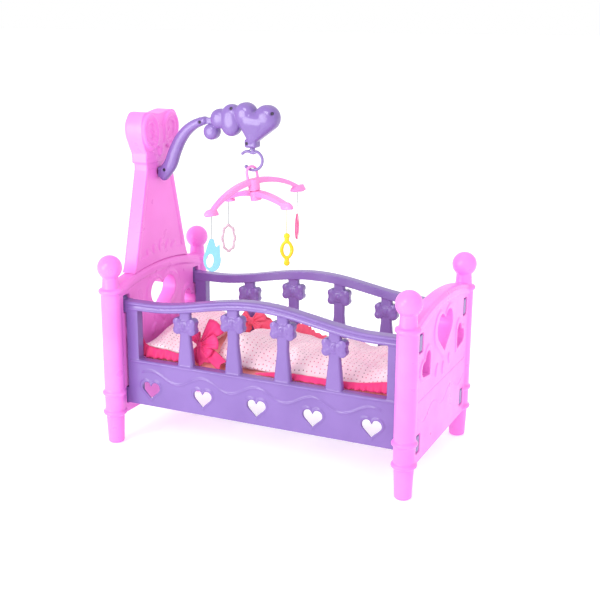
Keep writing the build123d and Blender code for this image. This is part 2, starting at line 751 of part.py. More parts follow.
with BuildPart() as arm_whole:
    with BuildSketch(Plane.XZ.offset(-arm_half + arm_edge_step)):
        add(arm_face)
    extrude(amount=arm_depth - 2 * arm_edge_step)
    with BuildSketch(Plane.XZ.offset(-arm_half)):
        add(arm_crown)
    extrude(amount=arm_depth)
    with BuildSketch(Plane.XZ.offset(-arm_half + wall)):
        add(arm_hollow)
    extrude(amount=arm_depth - 2 * wall, mode=Mode.SUBTRACT)
    for boss in arm_bosses:
        add(boss)
    with Locations((arm_end_x - 4, 0, arm_end_z)):
        Box(neck_l, neck_t, neck_h, align=(Align.MIN, Align.CENTER, Align.CENTER))
    with Locations(Location((head_x + tower_depth / 2 + 2, 0, arm_route[0][1]), (0, -90, 0))):
        Cylinder(arm_spigot_r, arm_spigot_l + 2, align=(Align.CENTER, Align.CENTER, Align.MIN))
    for space in arm_spaces:
        add(space, mode=Mode.SUBTRACT)

with BuildPart() as arm_front_shell:
    add(arm_whole.part)
    split(bisect_by=Plane.XZ, keep=Keep.TOP)
arm_front_shell.part.label = "arm_front_shell"

with BuildPart() as arm_rear_shell:
    add(arm_whole.part)
    split(bisect_by=Plane.XZ, keep=Keep.BOTTOM)
arm_rear_shell.part.label = "arm_rear_shell"

arm_screw_solids = [screw_solid(x, z, arm_half) for x, z in arm_screws_at]
with BuildPart() as arm_screws:
    for screw in arm_screw_solids:
        add(screw)
arm_screws.part.label = "arm_screws"


# ---- housing ------------------------------------------------------------------------------------------
def tangent_point(tip, lobe, side):
    """Where the straight edge from the heart's tip touches a lobe."""
    dx, dz = lobe[0] - tip[0], lobe[1] - tip[1]
    reach = math.hypot(dx, dz)
    turn = math.atan2(dz, dx) - side * math.asin(lobe[2] / reach)
    length = math.sqrt(reach ** 2 - lobe[2] ** 2)
    return (tip[0] + length * math.cos(turn), tip[1] + length * math.sin(turn))


def tilted_heart(inset):
    """The housing's heart: two unequal lobes and a rounded tip."""
    left = (heart_left[0], heart_left[1], heart_left[2] - inset)
    right = (heart_right[0], heart_right[1], heart_right[2] - inset)
    lift = 1.6 * inset
    tip = (heart_tip[0], heart_tip[1] + lift)
    with BuildSketch() as heart:
        with Locations(left[:2]):
            Circle(left[2])
        with Locations(right[:2]):
            Circle(right[2])
        Polygon(tip, tangent_point(tip, right, 1), right[:2], left[:2], tangent_point(tip, left, -1), align=None)
    return heart.sketch


def puff(x, z, rx, rz, half_depth, edge):
    """One pillowed lobe of the cloud."""
    with BuildPart() as lobe:
        with BuildSketch(Plane.XZ.offset(-half_depth)):
            with Locations((x, z)):
                Ellipse(rx, rz) if rx != rz else Circle(rx)
        extrude(amount=2 * half_depth)
        if edge > 0:
            fillet(lobe.faces().filter_by(Axis.Y).edges(), radius=edge)
    return lobe.part


def housing_form(inset, edge):
    """The cloud and heart joined, shrunk by inset on every side."""
    lobes = [puff(x, z, r - inset, r - inset, half - inset, edge) for x, z, r, half in cloud_lobes]
    lobes.append(puff(oval_x, oval_z, oval_rx - inset, oval_rz - inset, oval_half_depth - inset, edge))
    heart_face = tilted_heart(inset)
    with BuildPart() as form:
        with BuildSketch(Plane.XZ.offset(-heart_half_depth + inset)):
            add(heart_face)
        extrude(amount=2 * (heart_half_depth - inset))
        for lobe in lobes:
            add(lobe)
    return form.part


housing_outer = housing_form(0, puff_round)
housing_inner = housing_form(wall, 0)
housing_bosses = [screw_boss(x, z, face) for x, z, face in housing_screws_at[:2]]
housing_spaces = [screw_space(x, z, face) for x, z, face in housing_screws_at]
lug_top = lug_z + lug_h
door_x = cell_x
door_screw_z = door_low_z + door_h - 4

with BuildPart() as housing_whole:
    add(housing_outer)
    with Locations((spindle_x, 0, lug_z)):
        Box(lug_w, lug_t, lug_h, align=(Align.CENTER, Align.CENTER, Align.MIN))
    fillet(housing_whole.edges().filter_by(Axis.Y).group_by(Axis.Z)[0], radius=3)
    add(housing_inner, mode=Mode.SUBTRACT)
    for boss in housing_bosses:
        add(boss)
    with Locations((arm_end_x - 4, 0, arm_end_z)):
        Box(neck_l + fit_gap, neck_t + 2 * fit_gap, neck_h + 2 * fit_gap, mode=Mode.SUBTRACT,
            align=(Align.MIN, Align.CENTER, Align.CENTER))
    for space in housing_spaces:
        add(space, mode=Mode.SUBTRACT)
    with Locations((spindle_x, 0, lug_z - 1)):
        Cylinder(lug_bore_r, lug_h + 8, mode=Mode.SUBTRACT, align=(Align.CENTER, Align.CENTER, Align.MIN))
    with Locations((spindle_x, 0, bush_z)):
        Cylinder(bush_r, 14, mode=Mode.SUBTRACT, align=(Align.CENTER, Align.CENTER, Align.MIN))

with BuildPart() as housing_front_shell:
    add(housing_whole.part)
    split(bisect_by=Plane.XZ, keep=Keep.TOP)
housing_front_shell.part.label = "housing_front_shell"

with BuildPart() as housing_rear_shell:
    add(housing_whole.part)
    split(bisect_by=Plane.XZ, keep=Keep.BOTTOM)
    with Locations((door_x, oval_half_depth, door_low_z)):
        Box(door_w, 3 * wall, door_h, mode=Mode.SUBTRACT, align=(Align.CENTER, Align.CENTER, Align.MIN))
    with Locations(Location((door_x, oval_half_depth - door_t, door_screw_z), (90, 0, 0))):
        Cylinder(boss_r, 7, align=(Align.CENTER, Align.CENTER, Align.MIN))
    with Locations((door_x, oval_half_depth - door_t - 7, door_screw_z)):
        Box(2, 6, oval_z + oval_rz - 0.7 * wall - door_screw_z, align=(Align.CENTER, Align.MIN, Align.MIN))
    with Locations(Location((door_x, oval_half_depth, door_screw_z), (90, 0, 0))):
        Cylinder(screw_r, 8, mode=Mode.SUBTRACT, align=(Align.CENTER, Align.CENTER, Align.MIN))
    with Locations((switch_x + knob_travel / 2, heart_half_depth, switch_z)):
        Box(knob_w + knob_travel + 2 * knob_gap, 3 * wall, knob_h + 2 * knob_gap, mode=Mode.SUBTRACT)
housing_rear_shell.part.label = "housing_rear_shell"

housing_screw_solids = [screw_solid(x, z, face) for x, z, face in housing_screws_at]
with BuildPart() as housing_screws:
    for screw in housing_screw_solids:
        add(screw)
housing_screws.part.label = "housing_screws"

# ---- battery door, cells and electrics -------------------------------------------------------------
with BuildPart() as battery_door:
    with Locations((door_x, oval_half_depth - door_t / 2, door_low_z + fit_gap)):
        Box(door_w - 2 * fit_gap, door_t, door_h - 2 * fit_gap, align=(Align.CENTER, Align.CENTER, Align.MIN))
    with Locations((door_x, oval_half_depth, door_low_z + 7)):
        Box(8, 1.0, 1.2, mode=Mode.SUBTRACT)
    with Locations(Location((door_x, oval_half_depth + 1, door_screw_z), (90, 0, 0))):
        Cylinder(screw_r + 0.1, 5, mode=Mode.SUBTRACT, align=(Align.CENTER, Align.CENTER, Align.MIN))
battery_door.part.label = "battery_door"

with BuildPart() as battery_door_screw:
    with Locations(Location((door_x, oval_half_depth + screw_head_h, door_screw_z), (90, 0, 0))):
        Cylinder(screw_head_r, screw_head_h, align=(Align.CENTER, Align.CENTER, Align.MIN))
        Cylinder(screw_r, 8, align=(Align.CENTER, Align.CENTER, Align.MIN))
battery_door_screw.part.label = "battery_door_screw"

with BuildPart() as button_cells:
    for i in range(cell_count):
        with Locations((cell_x, cell_y, cell_z + i * cell_h)):
            Cylinder(cell_r, cell_h - 0.1, align=(Align.CENTER, Align.CENTER, Align.MIN))
button_cells.part.label = "button_cells"

with BuildPart() as battery_contacts:
    with Locations((cell_x, cell_y, cell_z - contact_t - 0.1), (cell_x, cell_y, cell_z + cell_count * cell_h)):
        Box(8, 8, contact_t, align=(Align.CENTER, Align.CENTER, Align.MIN))
battery_contacts.part.label = "battery_contacts"

with BuildPart() as circuit_board:
    with Locations((oval_x, pcb_y, oval_z)):
        Box(*pcb_size)
circuit_board.part.label = "circuit_board"

speaker_x, speaker_z, speaker_lobe_r, speaker_half = cloud_lobes[1]
with BuildPart() as speaker:
    with Locations(Location((speaker_x + 1, speaker_y, speaker_z + 2), (90, 0, 0))):
        Cylinder(speaker_r, speaker_t)
        Cylinder(speaker_r * 0.45, speaker_t + 1.0)
speaker.part.label = "speaker"

with BuildPart() as slide_switch:
    with Locations((switch_x + knob_travel / 2, heart_half_depth - wall - 3.6, switch_z)):
        Box(11, 4, 6)
slide_switch.part.label = "slide_switch"

with BuildPart() as switch_knob:
    with Locations((switch_x, heart_half_depth + knob_out, switch_z)):
        Box(knob_w, knob_out + wall + 0.9, knob_h, align=(Align.CENTER, Align.MAX, Align.CENTER))
        with Locations((-1.2, 0, 0), (0, 0, 0), (1.2, 0, 0)):
            Box(0.5, 0.8, knob_h, mode=Mode.SUBTRACT)
switch_knob.part.label = "switch_knob"

# ---- drive ---------------------------------------------------------------------------------------------
idler_x = spindle_x + gear_module * (output_teeth + idler_teeth) / 2
pinion_reach = gear_module * (idler_teeth + pinion_teeth) / 2
pinion_x = idler_x + pinion_reach * math.cos(math.radians(pinion_angle))
pinion_y = pinion_reach * math.sin(math.radians(pinion_angle))
output_shape = spur_gear(output_teeth, spindle_r, 0)
idler_shape = spur_gear(idler_teeth, axle_r + run_gap, 180 / idler_teeth)
pinion_shape = spur_gear(pinion_teeth, axle_r, pinion_angle + 180)
column = (Align.CENTER, Align.CENTER, Align.MIN)

with BuildPart() as spindle_bush:
    with Locations((spindle_x, 0, bush_z)):
        Cylinder(bush_r, bush_top - bush_z, align=column)
        Cylinder(spindle_r + run_gap, bush_top - bush_z, mode=Mode.SUBTRACT, align=column)
spindle_bush.part.label = "spindle_bush"

pillar_spots = [(spindle_x - 5, -9), (spindle_x - 5, 9), (idler_x + 5, -9)]
with BuildPart() as gear_frame:
    with Locations((spindle_x - 6.5, 0, frame_low_z), (spindle_x - 6.5, 0, frame_high_z)):
        Box(25, 2 * frame_half_y, frame_t, align=(Align.MIN, Align.CENTER, Align.MIN))
    with Locations((pinion_x, pinion_y, frame_high_z)):
        Cylinder(motor_r, frame_t, align=column)
    with Locations(*[(x, y, frame_low_z) for x, y in pillar_spots]):
        Cylinder(pillar_r, frame_high_z + frame_t - frame_low_z, align=column)
    with Locations((spindle_x, 0, frame_low_z - 1)):
        Cylinder(spindle_r + 0.5, 12, mode=Mode.SUBTRACT, align=column)
    with Locations((idler_x, 0, frame_low_z - 1)):
        Cylinder(axle_r, 12, mode=Mode.SUBTRACT, align=column)
    with Locations((pinion_x, pinion_y, frame_low_z - 1)):
        Cylinder(axle_r + 0.4, 12, mode=Mode.SUBTRACT, align=column)
gear_frame.part.label = "gear_frame"

with BuildPart() as idler_axle:
    with Locations((idler_x, 0, frame_low_z)):
        Cylinder(axle_r, frame_high_z + frame_t - frame_low_z, align=column)
idler_axle.part.label = "idler_axle"

with BuildPart() as idler_gear:
    with Locations((idler_x, 0, gear_z)):
        add(idler_shape)
idler_gear.part.label = "idler_gear"

with BuildPart() as motor_pinion:
    with Locations((pinion_x, pinion_y, gear_z)):
        add(pinion_shape)
        Cylinder(axle_r, frame_high_z + frame_t - gear_z, align=column)
motor_pinion.part.label = "motor_pinion"

with BuildPart() as gear_motor:
    with Locations((pinion_x, pinion_y, frame_high_z + frame_t + run_gap)):
        Cylinder(motor_r, motor_h, align=column)
    with Locations((pinion_x, pinion_y, frame_high_z + frame_t + run_gap + motor_h)):
        Cylinder(2.0, 1.2, align=column)
gear_motor.part.label = "gear_motor"

with BuildPart() as output_gear:
    with Locations((spindle_x, 0, gear_z)):
        add(output_shape)
output_gear.part.label = "output_gear"

spindle_top = gear_z + gear_t + 1.2
with BuildPart() as spindle_clip:
    with Locations((spindle_x, 0, gear_z + gear_t)):
        Cylinder(spindle_r + 1.4, 0.8, align=column)
        Cylinder(spindle_r, 0.8, mode=Mode.SUBTRACT, align=column)
spindle_clip.part.label = "spindle_clip"

# ---- hook --------------------------------------------------------------------------------------------------
ring_plane = Plane(origin=(spindle_x, 0, ring_z), x_dir=Vector(1, 0, 0).rotate(Axis.Z, ring_turn),
                   z_dir=Vector(0, -1, 0).rotate(Axis.Z, ring_turn))
ring_tip = (ring_r * math.cos(math.radians(ring_end)), ring_r * math.sin(math.radians(ring_end)))
with BuildPart() as hook:
    with BuildLine(ring_plane) as ring_line:
        CenterArc((0, 0), ring_r, ring_start, ring_end - ring_start)
    with BuildSketch(Plane(origin=ring_line.line @ 0, z_dir=ring_line.line % 0)):
        Circle(wire_r)
    sweep()
    with Locations(ring_line.line @ 0):
        Sphere(wire_r)
    with Locations(ring_line.line @ 1):
        Sphere(tip_ball_r)
    with Locations((spindle_x, 0, ring_z + ring_r)):
        Cylinder(spindle_r, spindle_top - ring_z - ring_r, align=column)
    with Locations((spindle_x, 0, ring_z + ring_r + 1)):
        Cylinder(spindle_r + 1.5, lug_z - 0.3 - ring_z - ring_r - 1, align=column)
hook.part.label = "hook"


# ---- hanger ----------------------------------------------------------------------------------------------------
def arched_bar(top_z, drop, hub_height, hub_radius):
    """A two-armed bar along local X that curves down to a rounded cap at each end."""
    end_z = top_z - drop
    low_mid = top_z - bar_h
    with BuildPart() as bar:
        with BuildSketch(Plane.XZ.offset(-bar_w / 2)):
            with BuildLine():
                upper = ThreePointArc((-bar_reach, end_z), (0, top_z), (bar_reach, end_z))
                lower = ThreePointArc((-bar_reach, end_z - 0.6 * bar_h), (0, low_mid),
                                      (bar_reach, end_z - 0.6 * bar_h))
                Line(upper @ 0, lower @ 0)
                Line(upper @ 1, lower @ 1)
            make_face()
        extrude(amount=bar_w)
        with Locations((0, 0, top_z - hub_height)):
            Cylinder(hub_radius, hub_height - 1, align=column)
        for side in (-1, 1):
            with BuildSketch(Plane.XY.offset(end_z - 0.75 * cap_h)):
                with Locations((side * (bar_reach - 1), 0)):
                    Ellipse(cap_l / 2, cap_w / 2)
            extrude(amount=cap_h, taper=18)
    return bar.part


def hang(piece):
    """Tilts a piece made round the hub and carries it to its place under the hook."""
    tilted = piece.rotate(Axis.X, -hanger_roll).rotate(Axis.Y, -hanger_tilt)
    turned = tilted.rotate(Axis.Z, hanger_turn)
    return turned.translate(Vector(hub_x, hub_y, hub_lift))


def hung_point(x, y, z):
    """Where a point of the level hanger ends up."""
    level = Vector(x, y, z).rotate(Axis.X, -hanger_roll)
    point = level.rotate(Axis.Y, -hanger_tilt).rotate(Axis.Z, hanger_turn)
    return point + Vector(hub_x, hub_y, hub_lift)


tilt = math.radians(hanger_tilt)
bail_top = 37.2                                      # bail's middle line above the hub's middle
bail_bend = bail_top - bail_half                     # centre of the bail's bend
bend_shift = -bail_bend * math.sin(tilt)             # bend's place along the bar, before the shift
along_bar = hub_shift
across_bar = -bail_bend * math.sin(math.radians(hanger_roll))
turn_cos = math.cos(math.radians(hanger_turn))
turn_sin = math.sin(math.radians(hanger_turn))
hub_x = spindle_x + along_bar * turn_cos - across_bar * turn_sin
hub_y = along_bar * turn_sin + across_bar * turn_cos
wire_reach = bail_half - bail_r - wire_r - bail_gap  # wire's middle to the bend's centre
wire_side = -(bend_shift + along_bar)
wire_above = math.sqrt(wire_reach ** 2 - wire_side ** 2)
hub_lift = ring_z - ring_r - wire_above - bail_bend * math.cos(tilt) * math.cos(math.radians(hanger_roll))

with BuildPart() as top_bar_level:
    add(arched_bar(top_bar_rise, top_bar_drop, top_bar_rise - low_bar_top, hub_r))
    with BuildLine(Plane.XZ) as bail_line:
        Line((-bail_half, top_bar_rise - 4), (-bail_half, bail_bend))
        ThreePointArc((-bail_half, bail_bend), (0, bail_top), (bail_half, bail_bend))
        Line((bail_half, bail_bend), (bail_half, top_bar_rise - 4))
    with BuildSketch(Plane(origin=bail_line.line @ 0, z_dir=(0, 0, 1))):
        Circle(bail_r)
    sweep()
    with Locations((0, 0, low_bar_top)):
        Cylinder(4 + fit_gap, 8 + fit_gap, mode=Mode.SUBTRACT, align=column)
with BuildPart() as hanger_top_bar:
    add(hang(top_bar_level.part))
hanger_top_bar.part.label = "hanger_top_bar"

with BuildPart() as lower_bar_level:
    add(arched_bar(low_bar_top - seat_gap, low_bar_drop, low_hub_h, hub_r - 0.5).rotate(Axis.Z, -90))
    with Locations((0, 0, -4)):
        Cylinder(4, low_bar_top + 4 + 8, align=column)
with BuildPart() as hanger_lower_bar:
    add(hang(lower_bar_level.part))
hanger_lower_bar.part.label = "hanger_lower_bar"


# ---- strings and pendants -----------------------------------------------------------------------------------------
def scallop_ring(half_w, half_h, lobe, count, hole):
    """A flat ring with a scalloped edge, standing on local XY, its top at y = 0."""
    with BuildSketch() as ring:
        with Locations((0, -half_h)):
            Ellipse(half_w - lobe, half_h - lobe)
        for i in range(count):
            angle = 2 * math.pi * (i + 0.5) / count + math.pi / 2
            spot = ((half_w - lobe) * math.cos(angle), -half_h + (half_h - lobe) * math.sin(angle))
            with Locations(spot):
                Circle(lobe)
        with Locations((0, -half_h)):
            Ellipse(hole * (half_w - lobe), hole * (half_h - lobe), mode=Mode.SUBTRACT)
        with Locations((0, -lobe)):
            Circle(lobe)
    return ring.sketch


def moon_sketch():
    """A drop-shaped plate with a slanting window, a neck and one point beside it."""
    with BuildSketch() as moon:
        with Locations((0, -31.5)):
            Ellipse(13.0, 18.0)
        Polygon((-11, -24), (-7, -10), (-3.2, 0), (2.6, 0), (5.5, -11), (11, -24), align=None)
        Polygon((4, -14), (11.5, -8), (12.3, -26), align=None)
        with Locations((-3.2, -33.0)):
            Ellipse(5.4, 10.6, rotation=-8, mode=Mode.SUBTRACT)
    return moon.sketch


def flower_sketch():
    """A scalloped ring between two small balls."""
    with BuildSketch() as flower:
        with Locations((0, -25.0)):
            Ellipse(9.5, 14.0)
        with Locations(*[(i * 6.3, -25 + k * 8.4) for i in (-1, 1) for k in (-1, 1)]):
            Circle(3.8)
        with Locations((-8.2, -25.0), (8.2, -25.0)):
            Circle(3.6)
        with Locations((0, -5.0), (0, -44.5)):
            Circle(5.0)
        with Locations((0, -10.5), (0, -39.5)):
            Rectangle(6, 8)
        with Locations((0, -25.0)):
            Ellipse(4.4, 8.6, mode=Mode.SUBTRACT)
    return flower.sketch


def wand_sketch():
    """A slim notched pendant."""
    with BuildSketch() as wand:
        with Locations((0, -21.0)):
            Ellipse(12.0, 19.0)
            Ellipse(6.5, 12.0, mode=Mode.SUBTRACT)
        with Locations((0, -3.0)):
            Circle(3.0)
    return wand.sketch


# pendant name, arm (0 to 3 anticlockwise from the near left), string length, outline, turn of its face
pendant_plan = (("moon", (-bar_reach, 0, top_bar_rise - top_bar_drop), 34.4, moon_sketch(), face_turn),
                ("star_ring", (bar_reach - 5.5, 0, top_bar_rise - top_bar_drop), 34.4, wand_sketch(), face_turn + 80),
                ("flower", (0, -bar_reach, low_bar_top - seat_gap - low_bar_drop), 34.9, flower_sketch(), face_turn),
                ("octagon_ring", (0, bar_reach + 5.0, low_bar_top - seat_gap - low_bar_drop), 37.4,
                 scallop_ring(14.0, 25.5, 2.9, 8, 0.74), face_turn + 14))


def string_solid(top, length):
    """A straight thread that hangs down from top."""
    with BuildPart() as string:
        with Locations(top - Vector(0, 0, length)):
            Cylinder(string_r, length, align=column)
    return string


def pendant_solid(outline, top, turn):
    """A flat plate that hangs with its top edge at top."""
    face = Plane(origin=top, x_dir=Vector(1, 0, 0).rotate(Axis.Z, turn),
                 z_dir=Vector(0, -1, 0).rotate(Axis.Z, turn))
    with BuildPart() as pendant:
        with BuildSketch(face.offset(-pendant_t / 2)):
            add(outline)
        extrude(amount=pendant_t)
    return pendant


pieces = [headboard, footboard, headboard_tower, side_panel_front, side_panel_back, bed_base, mattress,
          pillow, quilt, ribbon_bow_front, ribbon_bow_back, arm_front_shell, arm_rear_shell, arm_screws,
          housing_front_shell, housing_rear_shell, housing_screws, battery_door, battery_door_screw,
          button_cells, battery_contacts, circuit_board, speaker, slide_switch, switch_knob, spindle_bush,
          gear_frame, idler_axle, idler_gear, motor_pinion, gear_motor, output_gear, spindle_clip, hook,
          hanger_top_bar, hanger_lower_bar]

for name, arm_end, length, outline, turn in pendant_plan:
    under_cap = hung_point(arm_end[0], arm_end[1], arm_end[2] - 0.75 * cap_h)
    string_top = under_cap - Vector(0, 0, string_gap)
    string = string_solid(string_top, length)
    string.part.label = "string_" + name
    pendant = pendant_solid(outline, string_top - Vector(0, 0, length), turn)
    pendant.part.label = "pendant_" + name
    pieces += [string, pendant]
    print(f"{name}: string top ({string_top.X:.2f}, {string_top.Y:.2f}, {string_top.Z:.2f}), length {length}")

print(f"hook contact height {ring_z - ring_r:.2f}, hub ({hub_x:.2f}, {hub_y:.2f}, {hub_lift:.2f})")
print(f"idler axis x {idler_x:.3f}; pinion axis ({pinion_x:.3f}, {pinion_y:.3f})")

os.makedirs("parts", exist_ok=True)
for piece in pieces:
    export_step(piece.part, f"parts/{piece.part.label}.step")
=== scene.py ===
import math
import bmesh
import bpy
from mathutils import Matrix, Vector, noise
from mathutils.bvhtree import BVHTree


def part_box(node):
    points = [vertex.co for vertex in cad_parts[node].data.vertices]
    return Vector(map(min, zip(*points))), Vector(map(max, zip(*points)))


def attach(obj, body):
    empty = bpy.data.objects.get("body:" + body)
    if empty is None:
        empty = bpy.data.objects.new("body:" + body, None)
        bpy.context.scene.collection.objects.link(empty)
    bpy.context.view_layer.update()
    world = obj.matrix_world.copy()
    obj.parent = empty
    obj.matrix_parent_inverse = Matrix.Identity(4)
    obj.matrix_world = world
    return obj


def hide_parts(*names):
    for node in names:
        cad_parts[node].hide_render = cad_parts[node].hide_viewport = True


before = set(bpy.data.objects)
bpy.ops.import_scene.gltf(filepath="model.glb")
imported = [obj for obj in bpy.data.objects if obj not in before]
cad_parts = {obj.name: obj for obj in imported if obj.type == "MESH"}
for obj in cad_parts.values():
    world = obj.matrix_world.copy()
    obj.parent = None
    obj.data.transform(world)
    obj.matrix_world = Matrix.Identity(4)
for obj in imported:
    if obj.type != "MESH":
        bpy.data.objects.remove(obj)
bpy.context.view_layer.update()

# Doll's crib with a battery mobile. X runs from the headboard to the footboard, Y from the front to
# the back, Z up. Lengths are written in millimetres and turned to metres where a shape is made.

mm = 0.001
scene = bpy.context.scene


def place(x, y, z):
    """A point given in millimetres."""
    return Vector((x, y, z)) * mm


# ---- materials ----------------------------------------------------------------------------------
def colour(code):
    """An sRGB hex value as linear light."""
    parts = [int(code[i:i + 2], 16) / 255 for i in (1, 3, 5)]
    lin = [c / 12.92 if c <= 0.04045 else ((c + 0.055) / 1.055) ** 2.4 for c in parts]
    return (*lin, 1.0)


def add(tree, kind, links=None, values=None, **settings):
    """Adds a node; links joins inputs to other nodes' outputs, values sets inputs."""
    node = tree.nodes.new(kind)
    for key, value in settings.items():
        setattr(node, key, value)
    for key, value in (values or {}).items():
        node.inputs[key].default_value = value
    for key, output in (links or {}).items():
        tree.links.new(output, node.inputs[key])
    return node


def new_material(name, base, rough, **uniform):
    """A material with its shader; uniform gives the shader's other sockets."""
    material = bpy.data.materials.new(name)
    material.use_nodes = True
    tree = material.node_tree
    shader = tree.nodes["Principled BSDF"]
    shader.inputs["Base Color"].default_value = colour(base)
    shader.inputs["Roughness"].default_value = rough
    for key, value in uniform.items():
        shader.inputs[key.replace("_", " ")].default_value = value
    material.diffuse_color = colour(base)
    return material, tree, shader


def mottled(tree, shader, coords, light, dark, patch, spread=0.12):
    """Lets the colour drift between two near tones in patches of the given size, in metres."""
    cloud = add(tree, "ShaderNodeTexNoise", {"Vector": coords}, {"Scale": 1 / patch, "Detail": 3.0})
    ramp = add(tree, "ShaderNodeValToRGB", {"Fac": cloud.outputs["Fac"]})
    ramp.color_ramp.elements[0].position = 0.5 - spread
    ramp.color_ramp.elements[0].color = colour(dark)
    ramp.color_ramp.elements[1].position = 0.5 + spread
    ramp.color_ramp.elements[1].color = colour(light)
    tree.links.new(ramp.outputs["Color"], shader.inputs["Base Color"])
    return ramp


def uneven_gloss(tree, shader, coords, low, high, patch):
    """Lets the roughness drift, as handling and the mould's polish leave it."""
    wear = add(tree, "ShaderNodeTexNoise", {"Vector": coords}, {"Scale": 1 / patch, "Detail": 4.0})
    span = add(tree, "ShaderNodeMapRange", {"Value": wear.outputs["Fac"]},
               {"From Min": 0.3, "From Max": 0.7, "To Min": low, "To Max": high})
    tree.links.new(span.outputs["Result"], shader.inputs["Roughness"])


def bumped(tree, shader, height, depth):
    """Turns a height from 0 to 1 into relief of the given depth, in metres."""
    relief = add(tree, "ShaderNodeBump", {"Height": height}, {"Strength": 1.0, "Distance": depth})
    tree.links.new(relief.outputs["Normal"], shader.inputs["Normal"])


def moulded_plastic(name, light, dark, rough):
    """Injection-moulded plastic: waxy, half gloss, with a faint ripple where it shrank."""
    tone_patch, polish_patch, ripple_width, ripple_depth = 0.07, 0.03, 0.011, 0.00006
    material, tree, shader = new_material(name, light, rough[0], IOR=1.49)
    coords = add(tree, "ShaderNodeTexCoord").outputs["Object"]
    mottled(tree, shader, coords, light, dark, tone_patch)
    uneven_gloss(tree, shader, coords, rough[0], rough[1], polish_patch)
    ripple = add(tree, "ShaderNodeTexNoise", {"Vector": coords},
                 {"Scale": 1 / ripple_width, "Detail": 1.0})
    bumped(tree, shader, ripple.outputs["Fac"], ripple_depth)
    return material


def woven(name, light, dark, spacing, depth, sheen, rough=0.85, dots=False):
    """Plain-woven cloth: crossing threads of the given spacing, in metres, with a soft nap.

    The threads are drawn two to three times too coarse, since real ones are too fine to show.
    """
    material, tree, shader = new_material(name, light, rough, IOR=1.45, Sheen_Weight=sheen)
    shader.inputs["Sheen Roughness"].default_value = 0.4
    shader.inputs["Specular IOR Level"].default_value = 0.3
    coords = add(tree, "ShaderNodeTexCoord")
    flat = coords.outputs["UV"]
    dye_patch, dye_spread, bands_per_scale = 0.03, 0.2, 20
    tone = mottled(tree, shader, coords.outputs["Object"], light, dark, dye_patch, dye_spread)
    waves = []
    for direction in ("X", "Y"):
        wave = add(tree, "ShaderNodeTexWave", {"Vector": flat},
                   {"Scale": 1 / (spacing * bands_per_scale), "Distortion": 0.6, "Detail": 1.0},
                   bands_direction=direction)
        waves.append(wave.outputs["Fac"])
    weave = add(tree, "ShaderNodeMath", {0: waves[0], 1: waves[1]}, operation="MULTIPLY")
    bumped(tree, shader, weave.outputs["Value"], depth)
    if dots:
        # printed dots 1.8 mm across, 6.4 mm apart, seven in ten rose and the rest grey-brown
        dot_pitch, rose_share = 0.0064, 0.7
        cells = add(tree, "ShaderNodeTexVoronoi", {"Vector": flat},
                    {"Scale": 1 / dot_pitch, "Randomness": 0.32}, voronoi_dimensions="2D")
        spot = add(tree, "ShaderNodeMapRange", {"Value": cells.outputs["Distance"]},
                   {"From Min": 0.12, "From Max": 0.16, "To Min": 1.0, "To Max": 0.0})
        pick = add(tree, "ShaderNodeSeparateColor", {"Color": cells.outputs["Color"]})
        ink = add(tree, "ShaderNodeValToRGB", {"Fac": pick.outputs["Red"]})
        ink.color_ramp.interpolation = "CONSTANT"
        ink.color_ramp.elements[0].color = colour("#dc6f90")
        ink.color_ramp.elements[1].position = rose_share
        ink.color_ramp.elements[1].color = colour("#8f6a74")
        # a Mix node has its colour inputs at 6 and 7 and its colour output at 2
        printed = add(tree, "ShaderNodeMix", {0: spot.outputs["Result"], 6: tone.outputs["Color"],
                                              7: ink.outputs["Color"]}, data_type="RGBA")
        tree.links.new(printed.outputs[2], shader.inputs["Base Color"])
    return material


def metal(name, base, rough, grain):
    """Bright metal, or metal darkened as painted shade, with a fine turned or rolled grain, its
    width in metres.
    """
    smear, scratch_depth = 0.004, 0.00003
    material, tree, shader = new_material(name, base, rough, Metallic=1.0)
    coords = add(tree, "ShaderNodeTexCoord").outputs["Object"]
    uneven_gloss(tree, shader, coords, rough, rough + 0.12, smear)
    scratch = add(tree, "ShaderNodeTexNoise", {"Vector": coords},
                  {"Scale": 1 / grain, "Detail": 3.0})
    bumped(tree, shader, scratch.outputs["Fac"], scratch_depth)
    return material


# polypropylene, moulded: a soft broad gloss on the boards, a sharper one on the purple parts
satin, glossy = (0.26, 0.38), (0.16, 0.25)
pink_plastic = moulded_plastic("pink_polypropylene_moulded", "#f785e4", "#f37ddd", satin)
purple_plastic = moulded_plastic("purple_polypropylene_moulded", "#8266ac", "#7c60a6", glossy)
pale_pink_plastic = moulded_plastic("pale_pink_polypropylene_moulded", "#f993d4", "#f48bcd",
                                    (0.22, 0.32))
hook_plastic = moulded_plastic("lilac_polypropylene_moulded", "#8d76b4", "#866fae", glossy)
base_plastic = moulded_plastic("white_polypropylene_sheet", "#efe6f2", "#e8deec", (0.4, 0.5))
# polystyrene, moulded: plain light colours with a hard gloss
hard_gloss = (0.15, 0.25)
blue_plastic = moulded_plastic("sky_blue_polystyrene_moulded", "#86c4dc", "#7cbcd8", hard_gloss)
yellow_plastic = moulded_plastic("yellow_polystyrene_moulded", "#eccb1c", "#e6c214", hard_gloss)
pearl_plastic = moulded_plastic("pearl_polystyrene_moulded", "#d9c0cc", "#d2b8c5", hard_gloss)
hot_pink_plastic = moulded_plastic("hot_pink_polystyrene_moulded", "#ee5a9a", "#e65091", hard_gloss)
